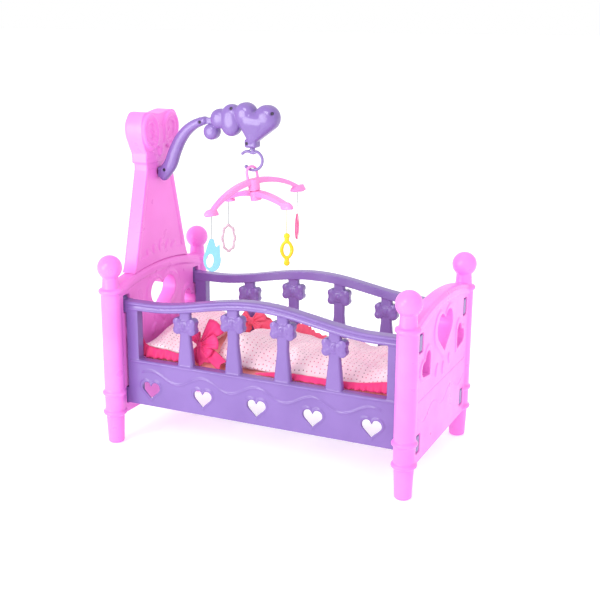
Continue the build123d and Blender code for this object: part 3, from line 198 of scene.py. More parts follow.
# acetal, ABS, nylon and solder mask: duller, as they leave the mould or the spool
white_gear_plastic = moulded_plastic("natural_acetal_moulded", "#f2efe6", "#e9e5da", (0.3, 0.4))
black_plastic = moulded_plastic("black_abs_moulded", "#1b1a1d", "#232226", (0.35, 0.5))
board_green = moulded_plastic("green_solder_mask", "#1f7a3d", "#1a6d36", (0.25, 0.35))
thread = moulded_plastic("nylon_thread", "#6f7780", "#666e78", (0.3, 0.4))
yellow_thread = moulded_plastic("yellow_nylon_thread", "#b5962c", "#ab8d26", (0.3, 0.4))
# screw heads: steel coloured dark lilac-grey as painted shade for the recesses they sit in
screw_metal_painted_shade = metal("steel_screw_dark_painted_recess_shade", "#3a3540", 0.35, 0.0008)
steel = metal("nickel_plated_steel", "#c9c9cc", 0.25, 0.0006)
# cotton and brushed polyester are dull with a nap; satin ribbon has long shining threads
dotted_cloth = woven("printed_cotton", "#f7dce2", "#f5ccd8", 0.0011, 0.00008, 0.25, dots=True)
salmon_cloth = woven("salmon_brushed_polyester", "#f79c98", "#f2908c", 0.0012, 0.00008, 0.4)
ruffle_cloth = woven("hot_pink_satin", "#ee3c7e", "#e63273", 0.0008, 0.00005, 0.4, 0.5)
coral_cloth = woven("coral_satin_ribbon", "#f1607e", "#ea5473", 0.0008, 0.00005, 0.5, 0.42)


# ---- building -----------------------------------------------------------------------------------
def merged(node):
    """A copy of a CAD node's mesh with its loose triangles joined."""
    form = bmesh.new()
    form.from_mesh(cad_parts[node].data)
    bmesh.ops.remove_doubles(form, verts=form.verts, dist=0.002 * mm)
    return form


def stand(form, name, material, body, nodes, smooth=True):
    """Turns a bmesh into a piece that rides on a body and stands for CAD nodes."""
    mesh = bpy.data.meshes.new(name)
    form.to_mesh(mesh)
    form.free()
    piece = bpy.data.objects.new(name, mesh)
    scene.collection.objects.link(piece)
    mesh.materials.clear()
    mesh.materials.append(material)
    if smooth:
        mesh.shade_smooth()
    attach(piece, body)
    if nodes:
        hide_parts(*nodes)
    return piece


def settle(piece):
    """Applies a piece's modifiers to its mesh."""
    depsgraph = bpy.context.evaluated_depsgraph_get()
    mesh = bpy.data.meshes.new_from_object(piece.evaluated_get(depsgraph))
    mesh.name = piece.data.name
    old = piece.data
    piece.modifiers.clear()
    piece.data = mesh
    bpy.data.meshes.remove(old)


def even(piece):
    """Lets the broad flat faces of a moulding set its shading."""
    normals = piece.modifiers.new("normals", "WEIGHTED_NORMAL")
    normals.weight = 80
    settle(piece)


def moulded(form, voxel, soften, keep=1.0):
    """Joins overlapping closed forms into one skin, rounds its edges and thins its faces.

    voxel is the skin's grain in millimetres, soften the rounds of smoothing, and keep the share
    of its faces that stays.
    """
    mesh = bpy.data.meshes.new("moulding")
    form.to_mesh(mesh)
    form.free()
    piece = bpy.data.objects.new("moulding", mesh)
    scene.collection.objects.link(piece)
    skin = piece.modifiers.new("skin", "REMESH")
    skin.mode = "VOXEL"
    skin.voxel_size = voxel * mm
    rounding = piece.modifiers.new("rounding", "SMOOTH")
    rounding.factor = 0.5
    rounding.iterations = soften
    if keep < 1:
        thin = piece.modifiers.new("thin", "DECIMATE")
        thin.ratio = keep
    settle(piece)
    result = bmesh.new()
    result.from_mesh(piece.data)
    bpy.data.objects.remove(piece)
    return result


def blob(form, centre, radii, turn=None, power=2.0):
    """Adds a closed puffy form; a power above 2 flattens its crown."""
    made = bmesh.ops.create_uvsphere(form, u_segments=40, v_segments=24, radius=1.0)["verts"]
    for vert in made:
        reach = math.hypot(vert.co.x, vert.co.z)
        if power != 2.0:
            side = 1 if vert.co.y >= 0 else -1
            vert.co.y = side * max(0.0, 1 - min(reach, 1.0) ** power) ** (1 / power)
    matrix = Matrix.Diagonal((radii[0] * mm, radii[1] * mm, radii[2] * mm, 1))
    if turn is not None:
        matrix = turn.to_4x4() @ matrix
    bmesh.ops.transform(form, matrix=Matrix.Translation(place(*centre)) @ matrix, verts=made)
    return made


def hull(form, parts):
    """Adds the closed hull round several blobs, each given as centre, radii and power."""
    inner = bmesh.new()
    for centre, radii, power in parts:
        blob(inner, centre, radii, None, power)
    made = bmesh.ops.convex_hull(inner, input=inner.verts)
    loose = [e for e in made["geom_interior"] + made["geom_unused"]
             if isinstance(e, bmesh.types.BMVert)]
    bmesh.ops.delete(inner, geom=[v for v in loose if v.is_valid], context="VERTS")
    bmesh.ops.recalc_face_normals(inner, faces=inner.faces)
    mesh = bpy.data.meshes.new("hull")
    inner.to_mesh(mesh)
    inner.free()
    form.from_mesh(mesh)
    bpy.data.meshes.remove(mesh)


def slab(form, low, high):
    """Adds a closed block between two corners."""
    made = bmesh.ops.create_cube(form, size=1.0)["verts"]
    size = [(high[i] - low[i]) * mm for i in range(3)]
    middle = [(high[i] + low[i]) / 2 for i in range(3)]
    matrix = Matrix.Translation(place(*middle)) @ Matrix.Diagonal((*size, 1))
    bmesh.ops.transform(form, matrix=matrix, verts=made)


def rope(form, path, radius, closed=False, sides=10):
    """Adds a round bead along a path in millimetres; a closed path makes a ring."""
    rings = []
    count = len(path)
    side = None
    for i in range(count):
        before = Vector(path[i - 1] if i > 0 or closed else path[0])
        after = Vector(path[(i + 1) % count] if i < count - 1 or closed else path[-1])
        ahead = (after - before).normalized()
        if side is None:
            side = ahead.orthogonal()
        side = (side - ahead * side.dot(ahead)).normalized()
        other = ahead.cross(side)
        width = radius[i] if isinstance(radius, list) else radius
        ring = []
        for k in range(sides):
            angle = 2 * math.pi * k / sides
            outward = math.cos(angle) * side + math.sin(angle) * other
            ring.append(form.verts.new((Vector(path[i]) + width * outward) * mm))
        rings.append(ring)
    pairs = list(zip(rings, rings[1:]))
    if closed:
        pairs.append((rings[-1], rings[0]))
    else:
        form.faces.new(rings[0][::-1])
        form.faces.new(rings[-1])
    for low, high in pairs:
        for k in range(sides):
            form.faces.new((low[k], low[(k + 1) % sides], high[(k + 1) % sides], high[k]))


def heart_path(x, y, z, width, height, count=48):
    """Points round an upright heart in the plane of a side panel; z is the middle of its height."""
    curve_height, curve_middle = 28.9, 2.6
    path = []
    for i in range(count):
        a = 2 * math.pi * i / count
        up = 13 * math.cos(a) - 5 * math.cos(2 * a) - 2 * math.cos(3 * a) - math.cos(4 * a)
        path.append((x + width / 2 * math.sin(a) ** 3, y,
                     z + height * (up + curve_middle) / curve_height))
    return path


def surface_y(form, x, z, side):
    """Where the front (-1) or back (1) of a form lies at x, z, in millimetres."""
    tree = BVHTree.FromBMesh(form)
    well_clear = side * 100
    hit = tree.ray_cast(place(x, well_clear, z), Vector((0, -side, 0)))[0]
    return hit.y / mm


# ---- boards -------------------------------------------------------------------------------------
head_low, head_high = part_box("headboard")
head_x = (head_low[0] + head_high[0]) / 2 / mm
for board_name in ("headboard", "footboard"):
    board = moulded(merged(board_name), 1.2, 2, 0.55)
    even(stand(board, board_name + "_moulding", pink_plastic, "root", [board_name]))

# ---- tower and its ribbon bow -------------------------------------------------------------------
tower = merged("headboard_tower")
bow_face = 14.0      # the bow's flat face, out from the middle of the board
loop_y, loop_z = 28.0, 468.0
loop_lean = -13
pleat_y, pleat_z = 6, 445.0
pleat_out = 0.8
knot_z = 441.0
for side in (-1, 1):
    bow_x = head_x + side * bow_face
    for hand in (-1, 1):
        lean = math.radians(loop_lean * hand)
        # a wide rim, and a narrow one inside it
        for grow_y, grow_z, bead, out in ((18.5, 25.0, 4.0, 0.6), (11.5, 17.0, 2.4, 0.8)):
            loop = []
            for i in range(36):
                a = 2 * math.pi * i / 36
                dy = grow_y * math.cos(a) * (1 + 0.12 * math.sin(a))
                dz = grow_z * math.sin(a)
                loop.append((bow_x + side * out,
                             hand * loop_y + dy * math.cos(lean) - dz * math.sin(lean),
                             loop_z + dy * math.sin(lean) + dz * math.cos(lean)))
            rope(tower, loop, bead, closed=True)
        for reach_y, reach_z in ((34.0, 458.0), (27.0, 472.0), (17.0, 481.0)):
            pleat = [(bow_x + side * pleat_out, hand * pleat_y, pleat_z)]
            for i in range(1, 6):
                t = i / 5
                pleat.append((bow_x + side * (pleat_out + 0.8 * math.sin(math.pi * t)),
                              hand * (pleat_y + (reach_y - pleat_y) * t),
                              pleat_z + (reach_z - pleat_z) * t ** 0.85))
            rope(tower, pleat, [2.4, 2.3, 2.1, 1.8, 1.4, 0.9])
    blob(tower, (head_x + side * 11.6, 0, knot_z), (6.8, 9.0, 13.5))
    for hand in (-1, 1):
        rope(tower, [(bow_x + side * 2.4, hand * 3.4, knot_z - 9),
                     (bow_x + side * 3.2, hand * 2.4, knot_z),
                     (bow_x + side * 2.4, hand * 3.4, knot_z + 9)], 1.2)
# the collar under the bow
slab(tower, (head_x - 13.4, -40.5, 421.5), (head_x + 13.4, 40.5, 436.5))
tower = moulded(tower, 1.1, 2, 0.8)
even(stand(tower, "tower_moulding", pink_plastic, "root", ["headboard_tower"]))

# ---- side panels --------------------------------------------------------------------------------
panel_y = 104.0      # the middle of a panel's thickness
panel_out = 111.0    # its outer face
rail_end_z = 223.0
rail_rise = 22.5
rail_half_wave = 184.0
rail_to_bow = (13.5, 21.0)      # the rail's depth, and from there to the middle of the bow
baluster_pitch = 80.4
baluster_xs = [(i - 1.5) * baluster_pitch for i in range(4)]
heart_pitch = 90.0
panel_heart_xs = [(i - 2) * heart_pitch for i in range(5)]
heart_z, heart_width, heart_height = 85.0, 35.0, 31.5
ledge_z = 129.2
ripple_z, ripple_height, ripple_end = 109.0, 8.0, 196
tab_xs = (236.0, 245.4)         # the tabs that go into the boards
tab_half_y, tab_half_z = 6.6, 11.4
rail_end_x = 229


def rail_top(x):
    """Height of the wavy rail's top at x, in millimetres."""
    if abs(x) >= rail_half_wave:
        return rail_end_z
    return rail_end_z + rail_rise * (1 + math.cos(math.pi * x / rail_half_wave)) / 2


steps = [-216.0 + 432.0 * i / 108 for i in range(109)]      # every 4 mm along a panel
for panel_name, panel_side in (("side_panel_front", -1), ("side_panel_back", 1)):
    panel = merged(panel_name)
    face = panel_side * panel_out
    middle = panel_side * panel_y
    # a four-lobed bow on each baluster, with two small ribs on each side of its knot
    for bx in baluster_xs:
        bow_z = rail_top(bx) - rail_to_bow[0] - rail_to_bow[1]
        for side in (-1, 1):
            for hand in (-1, 1):
                blob(panel, (bx + side * 12.6, middle, bow_z + hand * 6.5), (5.8, 7.7, 5.6), None,
                     3.0)
                rope(panel, [(bx + side * 5.0, face - panel_side * 0.2, bow_z + hand * 1.2),
                             (bx + side * 9.0, face + panel_side * 0.2, bow_z + hand * 3.4)], 1.0)
            blob(panel, (bx + side * 9.6, middle, bow_z), (9.0, 7.2, 11.4), None, 3.4)
        blob(panel, (bx, middle, bow_z), (4.4, 9.0, 6.2), None, 2.6)
    # beads along the rail, the ledge and the wavy line, then round the hearts
    rope(panel, [(x, face + panel_side * 1.0, rail_top(x) - 2.8) for x in steps], 2.5)
    rope(panel, [(x, face + panel_side * 0.5, rail_top(x) - 11.2) for x in steps], 1.8)
    rope(panel, [(x, face + panel_side * 0.3, ledge_z) for x in steps], 1.7)
    rope(panel, [(x, face + panel_side * 0.3,
                  ripple_z + ripple_height * math.cos(2 * math.pi * x / heart_pitch))
                 for x in steps if abs(x) < ripple_end], 1.4)
    for side in (-1, 1):
        for tab_z in (72.0, 217.0):
            ends = sorted(side * x for x in tab_xs)
            slab(panel, (ends[0], middle - tab_half_y, tab_z - tab_half_z),
                 (ends[1], middle + tab_half_y, tab_z + tab_half_z))
    for hx in panel_heart_xs:
        rope(panel, heart_path(hx, face + panel_side * 0.2, heart_z, heart_width, heart_height),
             1.5, closed=True)
    panel = moulded(panel, 1.0, 3, 0.6)
    for vert in panel.verts:
        if abs(vert.co.x) < rail_end_x * mm:
            vert.co.z = min(vert.co.z, (rail_top(vert.co.x / mm) + 0.9) * mm)
    even(stand(panel, panel_name + "_moulding", purple_plastic, "root",
               [panel_name]))

# ---- arm ----------------------------------------------------------------------------------------
arm_route = ((-212.8, 406.0), (-203.0, 419.0), (-195.5, 437.0), (-185.5, 456.0),
             (-173.0, 471.0), (-158.0, 481.5), (-142.0, 487.5))
arm_widths = (21.0, 21.0, 20.0, 18.5, 16.5, 14.5, 12.5)


def between(values, at):
    """A smooth value between listed ones (Catmull-Rom)."""
    last = len(values) - 1
    i = min(int(at), last - 1)
    t = at - i
    p = [values[max(0, min(last, i + k))] for k in (-1, 0, 1, 2)]
    return 0.5 * (2 * p[1] + (p[2] - p[0]) * t + (2 * p[0] - 5 * p[1] + 4 * p[2] - p[3]) * t ** 2
                  + (3 * p[1] - p[0] - 3 * p[2] + p[3]) * t ** 3)


shell_wall = 1.8
dimple_radius, dimple_depth = 2.3, 3.2
front, back = -1, 1


def cut_across(form, point, normal, **clear):
    """Cuts every face of a form along a plane."""
    everything = form.verts[:] + form.edges[:] + form.faces[:]
    bmesh.ops.bisect_plane(form, geom=everything, plane_co=point, plane_no=normal, **clear)


def shell_half(body_form, side, name, node, openings=(), dimples=(), only=None):
    """Keeps the front or back half of a closed form, or a patch of it, and gives it a wall.

    openings and only give a low and a high corner as x, z; dimples give x, z.
    """
    form = body_form.copy()
    cut_across(form, (0, side * 0.05 * mm, 0), (0, -side, 0), clear_outer=True)
    rim = dimple_radius + 0.5
    for x, z in dimples:
        for vert in form.verts:
            reach = math.hypot(vert.co.x - x * mm, vert.co.z - z * mm) / mm
            if reach < rim and side * vert.co.y > 3 * mm:
                vert.co.y -= side * dimple_depth * mm * min(1.0, (rim - reach) / 0.7)
    for low, high in [*openings, *([only] if only else [])]:
        for edge in (low[0], high[0]):
            cut_across(form, (edge * mm, 0, 0), (1, 0, 0))
        for edge in (low[1], high[1]):
            cut_across(form, (0, 0, edge * mm), (0, 0, 1))
        gone = []
        for face in form.faces:
            spot = face.calc_center_median() / mm
            within = low[0] < spot.x < high[0] and low[1] < spot.z < high[1] and side * spot.y > 5
            if within != bool(only):
                gone.append(face)
        bmesh.ops.delete(form, geom=gone, context="FACES")
    piece = stand(form, name, purple_plastic, "root", [node])
    wall = piece.modifiers.new("wall", "SOLIDIFY")
    wall.thickness = shell_wall * mm
    wall.offset = -1
    settle(piece)
    piece.data.shade_smooth()


def seated(node, name, form, spots, side, recess):
    """Screws moved in or out along Y so that their heads sit in the skin.

    spots give x, z and how far out the CAD head's face lies; recess is how deep it comes to sit.
    """
    screws = merged(node)
    sinks = [surface_y(form, x, z, side) - side * recess - side * face for x, z, face in spots]
    for vert in screws.verts:
        reaches = [math.hypot(vert.co.x / mm - x, vert.co.z / mm - z) for x, z, face in spots]
        vert.co.y += sinks[reaches.index(min(reaches))] * mm
    # the heads take the dark screw finish, which is painted shade for their recesses
    stand(screws, name, screw_metal_painted_shade, "root", [node], smooth=False)


arm = bmesh.new()
arm_steps = 64
for i in range(arm_steps + 1):
    at = i / arm_steps * (len(arm_route) - 1)
    ax = between([p[0] for p in arm_route], at)
    az = between([p[1] for p in arm_route], at)
    half = between(arm_widths, at) / 2
    blob(arm, (ax, 0, az), (half, 7.5, half), None, 2.8)
# its foot on the tower, the swelling round it, and its neck into the housing
slab(arm, (-223.3, -6.4, 397.5), (-216.0, 6.4, 412.5))
blob(arm, (-214.6, 0, 404.5), (9.2, 7.4, 13.0), Matrix.Rotation(math.radians(8), 3, "Y"), 2.8)
slab(arm, (-150.0, -4.6, 482.9), (-125.0, 4.6, 492.1))
arm = moulded(arm, 0.7, 4)
arm_screw_spots = ((-212.0, 409.0), (-147.0, 485.2))
arm_screw_face = 5.3
screw_recess = 1.5
shell_half(arm, front, "arm_front_moulding", "arm_front_shell", dimples=arm_screw_spots)
shell_half(arm, back, "arm_rear_moulding", "arm_rear_shell")
seated("arm_screws", "arm_screw_heads", arm, [(*spot, arm_screw_face) for spot in arm_screw_spots],
       front, screw_recess)
arm.free()

# ---- housing ------------------------------------------------------------------------------------
housing = bmesh.new()
cloud_power = 3.2
for cloud_centre, cloud_radii in (((-129.0, 0, 471.5), (12.3, 11.0, 12.3)),
                                  ((-114.0, 0, 491.5), (15.0, 12.0, 15.0)),
                                  ((-95.0, 0, 490.0), (17.5, 13.0, 24.0))):
    blob(housing, cloud_centre, cloud_radii, None, cloud_power)
# the heart: two lobes drawn down to its point, the body between them, and the spindle's boss
lobe_power = 2.9
heart_point = ((-60.0, 0, 459.5), (4.5, 9.5, 4.5), 3.0)
hull(housing, [((-71.0, 0, 500.5), (17.0, 14.5, 17.0), lobe_power), heart_point])
hull(housing, [((-36.0, 0, 495.5), (19.5, 15.0, 19.5), lobe_power), heart_point])
hull(housing, [((-65.0, 0, 491.0), (15.0, 14.4, 15.0), lobe_power),
               ((-46.0, 0, 489.0), (15.0, 14.7, 15.0), lobe_power), heart_point])
hull(housing, [((x, y, z), (3.2, 3.0, 2.8), 2.0)
               for x in (-67.5, -54.5) for y in (-6.0, 6.0) for z in (453.9, 461.0)])
housing = moulded(housing, 0.8, 4)
housing_screws = ((-91.5, 507.9, 10.8), (-23.4, 503.0, 12.8), (-66.9, 457.4, 6.8))
door_low = (-102.5, 479.0)
door_high = (-87.5, 507.0)
door_gap = 0.3
switch_slot = ((-75.8, 497.9), (-66.2, 502.1))
shell_half(housing, front, "housing_front_moulding", "housing_front_shell",
           dimples=[(x, z) for x, z, face in housing_screws])
shell_half(housing, back, "housing_rear_moulding", "housing_rear_shell",
           openings=((door_low, door_high), switch_slot))
shell_half(housing, back, "battery_door_moulding", "battery_door",
           only=([c + door_gap for c in door_low], [c - door_gap for c in door_high]))
seated("housing_screws", "housing_screw_heads", housing, housing_screws, front, screw_recess)
seated("battery_door_screw", "battery_door_screw_head", housing, [(-95.0, 503.0, 14.6)], back, -1.0)
housing.free()

# ---- hook and hanger ----------------------------------------------------------------------------
ring_centre = Vector((-60.0, 0.0, 432.0))
ring_turn = math.radians(10)
ring_across = Vector((math.cos(ring_turn), math.sin(ring_turn), 0))
ring_radius, ring_wire = 14.5, 2.2
ring_start, ring_end, ring_steps = 58, -138, 40
spindle_foot = 447.6
hook_form = merged("hook")
cut_across(hook_form, place(0, 0, spindle_foot), (0, 0, 1), clear_inner=True)
bmesh.ops.holes_fill(hook_form, edges=[e for e in hook_form.edges if e.is_boundary])
# the lip's hump, then the ring itself, as points across and up from its centre
hook_turns = [(-16.6, 9.6), (-14.5, 11.4), (-11.5, 12.9), (-8.5, 13.3), (-5.5, 12.6), (-2.5, 11.3),
              (0.5, 10.8), (3.5, 12.2), (6.2, 13.1)]
for i in range(ring_steps + 1):
    a = math.radians(ring_start - i * (ring_start - ring_end) / ring_steps)
    hook_turns.append((ring_radius * math.cos(a), ring_radius * math.sin(a)))
hook_path = [ring_centre + u * ring_across + Vector((0, 0, v)) for u, v in hook_turns]
rope(hook_form, hook_path, ring_wire, sides=14)
for spot, ball in ((hook_path[0], ring_wire), (hook_path[-1], 3.0)):
    blob(hook_form, spot, (ball, ball, ball))
blob(hook_form, (-60.0, 0, 446.5), (2.6, 2.6, 4.0))
hook_form = moulded(hook_form, 0.45, 4)
stand(hook_form, "hook_moulding", hook_plastic, "spindle", ["hook"])

cord_tops = {"moon": (-95.52, -65.94, 355.72), "star_ring": (-18.35, 67.18, 378.17),
             "flower": (13.87, -37.74, 370.10), "octagon_ring": (-128.59, 46.73, 358.92)}
for bar, bar_turn, hung in (("hanger_top_bar", 59.9, ("moon", "star_ring")),
                            ("hanger_lower_bar", 149.9, ("flower", "octagon_ring"))):
    bar_form = merged(bar)
    for cx, cy, cz in [cord_tops[pendant] for pendant in hung]:
        # a domed cap, flat underneath, clear of the string's top
        dome = blob(bar_form, (cx, cy, cz + 1.4), (12.2, 8.2, 8.8),
                    Matrix.Rotation(math.radians(bar_turn), 3, "Z"))
        for vert in dome:
            vert.co.z = max(vert.co.z, (cz + 0.9) * mm)
    bar_form = moulded(bar_form, 0.6, 5)
    stand(bar_form, bar + "_moulding", pale_pink_plastic, "hanger", [bar])


# ---- pendants and their strings -----------------------------------------------------------------
def turnings(count):
    """Angles round a ring, starting at its top."""
    return [math.pi / 2 + 2 * math.pi * i / count for i in range(count)]


# name, finish, slot, the way it faces in degrees, its string's length and thread
pendants = (("moon", blue_plastic, "blue_plastic", 24.6, 34.4, thread),
            ("star_ring", hot_pink_plastic, "hot_pink_plastic", 104.6, 34.4, thread),
            ("flower", yellow_plastic, "yellow_plastic", 24.6, 34.9, yellow_thread),
            ("octagon_ring", pearl_plastic, "pearl_plastic", 38.6, 37.4, thread))
for pendant_name, finish, finish_slot, faces, length, strand in pendants:
    top = cord_tops[pendant_name]
    plate = bmesh.new()
    turn = math.radians(faces)
    sheet_way = Vector((math.cos(turn), math.sin(turn), 0))
    hang = Vector(top) - Vector((0, 0, length))
    if pendant_name == "flower":
        # an oval ring with a knob on a short neck above and below
        for half_w, half_h, bead in ((7.6, 11.6, 2.5), (6.2, 13.2, 1.9)):
            rope(plate, [hang + sheet_way * half_w * math.cos(a) * (1 + 0.05 * math.cos(4 * a))
                         + Vector((0, 0, -25.0 + half_h * math.sin(a))) for a in turnings(40)],
                 bead, closed=True)
        for knob_z, knob_radii in ((-4.6, (4.6, 2.6, 4.6)), (-44.6, (4.6, 2.6, 4.6)),
                                   (-9.5, (3.6, 2.2, 5.0)), (-39.5, (3.6, 2.2, 5.0))):
            blob(plate, hang + Vector((0, 0, knob_z)), knob_radii, Matrix.Rotation(turn, 3, "Z"),
                 2.4)
    elif pendant_name == "octagon_ring":
        # a long ring with eight scallops
        rope(plate, [hang + sheet_way * (9.6 + 0.7 * math.cos(8 * a)) * math.cos(a)
                     + Vector((0, 0, -22.6 + (20.4 + 0.9 * math.cos(8 * a)) * math.sin(a)))
                     for a in turnings(64)],
             [2.1 + 0.35 * math.cos(8 * a) for a in turnings(64)], closed=True)
    else:
        plate.free()
        plate = merged("pendant_" + pendant_name)
    plate = moulded(plate, 0.4, 4)
    stand(plate, "pendant_" + pendant_name + "_moulding", finish, "hung_" + pendant_name,
          ["pendant_" + pendant_name])
    cord = bpy.data.curves.new("thread_" + pendant_name, "CURVE")
    cord.dimensions = "3D"
    spline = cord.splines.new("NURBS")
    sway = 0.35
    points = [top, (top[0] + sway, top[1], top[2] - 0.3 * length),
              (top[0] - sway, top[1] + 0.2, top[2] - 0.68 * length),
              (top[0], top[1], top[2] - length)]
    spline.points.add(len(points) - 1)
    for point, spot in zip(spline.points, points):
        point.co = (*place(*spot), 1)
    spline.order_u = 3
    spline.use_endpoint_u = True
    cord.bevel_depth = 0.5 * mm
    cord.bevel_resolution = 2
    cord.use_fill_caps = True
    cord.materials.append(strand)
    string = bpy.data.objects.new("thread_" + pendant_name, cord)
    scene.collection.objects.link(string)
    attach(string, "hung_" + pendant_name)
    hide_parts("string_" + pendant_name)

# the nodes whose CAD shape stays
for finish, nodes in ((base_plastic, ("bed_base",)),
                      (steel, ("button_cells", "battery_contacts", "idler_axle", "gear_motor",
                               "spindle_clip")),
                      (board_green, ("circuit_board",)),
                      (black_plastic, ("speaker", "slide_switch", "switch_knob")),
                      (white_gear_plastic, ("spindle_bush", "gear_frame", "idler_gear",
                                            "motor_pinion", "output_gear"))):
    for node in nodes:
        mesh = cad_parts[node].data
        mesh.materials.clear()
        mesh.materials.append(finish)


# ---- bedding ------------------------------------------------------------------------------------
def cloth_uv(mesh):
    """Lays the pattern flat on a soft piece, in metres, from the side each face looks to."""
    layer = mesh.uv_layers.new(name="weave")
    for face in mesh.polygons:
        axis = max(range(3), key=lambda k: abs(face.normal[k]))
        for loop in face.loop_indices:
            co = mesh.vertices[mesh.loops[loop].vertex_index].co
            layer.data[loop].uv = [(co.y, co.z + 0.3), (co.x, co.z + 0.3), (co.x, co.y)][axis]


def pad_form(low, high, power, rows=24):
    """A closed cushion between two corners, crowned, thin at its edges; power squares it up."""
    edge_loss, side_pull = 0.85, 0.035
    form = bmesh.new()
    bmesh.ops.create_cube(form, size=2.0)
    bmesh.ops.subdivide_edges(form, edges=form.edges, cuts=rows, use_grid_fill=True)
    size = [(high[i] - low[i]) / 2 for i in range(3)]
    middle = [(high[i] + low[i]) / 2 for i in range(3)]
    for vert in form.verts:
        x, y, z = vert.co
        rise = (1 - abs(x) ** power * edge_loss) * (1 - abs(y) ** power * edge_loss)
        pull = 1 - side_pull * (1 - abs(x * y)) * (x * x + y * y) / 2
        vert.co = place(middle[0] + x * size[0] * pull, middle[1] + y * size[1] * pull,
                        middle[2] + z * size[2] * rise)
    return form


def inflate(piece, voxel, pressure, cap, steps=20):
    """Fills a cushion with the cloth solver, with every point held within cap of its start."""
    skin = piece.modifiers.new("skin", "REMESH")
    skin.mode = "VOXEL"
    skin.voxel_size = voxel * mm
    settle(piece)
    start = [v.co.copy() for v in piece.data.vertices]
    cloth = piece.modifiers.new("filling", "CLOTH")
    cloth.settings.quality = 5
    cloth.settings.mass = 0.2
    cloth.settings.tension_stiffness = 12
    cloth.settings.compression_stiffness = 12
    cloth.settings.shear_stiffness = 6
    cloth.settings.bending_stiffness = 0.3
    cloth.settings.use_pressure = True
    cloth.settings.uniform_pressure_force = pressure
    cloth.settings.effector_weights.gravity = 0
    cloth.point_cache.frame_start = 1
    cloth.point_cache.frame_end = steps
    for step in range(1, steps + 1):
        scene.frame_set(step)
    settle(piece)
    scene.frame_set(1)
    for vert, was in zip(piece.data.vertices, start):
        move = vert.co - was
        if move.length > cap * mm:
            vert.co = was + move * (cap * mm / move.length)


def soft_piece(name, node, low, high, material, voxel, pressure, cap, power,
               shape=None):
    """A filled cloth piece: form, filling, folds, pattern."""
    piece = stand(pad_form(low, high, power), name, material, "root", [node])
    inflate(piece, voxel, pressure, cap)
    if shape:
        for vert in piece.data.vertices:
            vert.co = shape(vert.co / mm) * mm
    finer = piece.modifiers.new("finer", "SUBSURF")
    finer.levels = 1
    finer.render_levels = 1
    settle(piece)
    piece.data.shade_smooth()
    cloth_uv(piece.data)


def folds(spot, size, height, seed):
    """Soft creases, longer along Y than X: ridged noise, in millimetres."""
    sample = Vector((spot.x / size, spot.y / (size * 1.6), seed))
    return height * (1 - 2 * abs(noise.noise(sample)) * 1.6)


bedding_low = 130.8      # where the bedding lies, just above the mattress
mattress_low, mattress_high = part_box("mattress")
soft_piece("mattress_pad", "mattress", [c / mm + d for c, d in zip(mattress_low, (2, 1, 1))],
           [c / mm - d for c, d in zip(mattress_high, (2, 1, 0.6))], salmon_cloth,
           voxel=5.0, pressure=2.0, cap=2.0, power=10.0)

pillow_thick = 40.0
quilt_thick = 14         # before it is draped
least_gap = 0.1


def ease(low, high, value):
    """A smooth step from 0 at low to 1 at high."""
    t = max(0.0, min(1.0, (value - low) / (high - low)))
    return t * t * (3 - 2 * t)


def pillow_shape(spot):
    """Plumps the pillow towards the back, rounds its near end and lays creases in it."""
    rel = max(0.0, (spot.z - bedding_low) / pillow_thick)
    lift = 0.74 + 0.42 * ease(-86, 60, spot.y)
    lift -= 0.16 * ease(-200, -140, spot.x) * ease(10, -80, spot.y)
    crease = folds(spot, 36.0, 2.4, 3.1) + folds(spot, 15.0, 0.9, 5.2)
    up = bedding_low + rel * pillow_thick * lift + crease * min(1.0, rel * 1.5)
    return Vector((spot.x, spot.y, max(bedding_low + least_gap, up)))


soft_piece("pillow_case", "pillow", (-209, -87, bedding_low + 1), (-121, 87, bedding_low + 41),
           dotted_cloth, voxel=4.0, pressure=4.0, cap=7.0, power=2.6,
           shape=pillow_shape)


def quilt_rise(x, y):
    """How high the quilt lies above the mattress, in millimetres.

    It climbs from its near edge, humps beside the bow and in its middle, and rides up at the foot.
    """
    rise = 4.5 + 17.0 * ease(-92, -48, y) * (1 - 0.25 * ease(20, 90, y))
    rise += 19.0 * math.exp(-((x + 62) / 42) ** 2 - ((y + 38) / 48) ** 2)
    rise += 7.0 * math.exp(-((x - 60) / 60) ** 2 - ((y + 20) / 50) ** 2)
    rise += 9.0 * ease(150, 205, x) * ease(-95, -60, y)
    return rise * (1 - 0.5 * ease(-84, -99, x))


def quilt_shape(spot):
    """Drapes the quilt over its filling, with creases that fan out from the bow."""
    rel = max(0.0, min(1.0, (spot.z - bedding_low) / quilt_thick))
    from_bow = math.atan2(spot.z - 150, 10) + math.atan2(spot.y + 70, spot.x + 118)
    fan = math.sin(from_bow * 11 + 2 * noise.noise(Vector((spot.x / 40, spot.y / 40, 1.0))))
    fan *= 2.6 * math.exp(-math.hypot(spot.x + 100, spot.y + 70) / 55)
    crease = folds(spot, 44.0, 3.4, 7.7) + folds(spot, 19.0, 1.3, 2.2) + fan
    top = quilt_rise(spot.x, spot.y) + crease * ease(-95, -70, spot.y)
    return Vector((spot.x, spot.y, max(bedding_low + least_gap, bedding_low + rel * top)))


soft_piece("quilt_cover", "quilt", (-97, -91, bedding_low + 0.6),
           (210, 91, bedding_low + quilt_thick), dotted_cloth,
           voxel=4.0, pressure=3.0, cap=4.0, power=7.0, shape=quilt_shape)


def along(path, t):
    """A point at share t of a path, smoothly between its corners."""
    at = t * (len(path) - 1)
    return Vector([between([spot[k] for spot in path], at) for k in range(3)])


cloth_thickness = 0.5


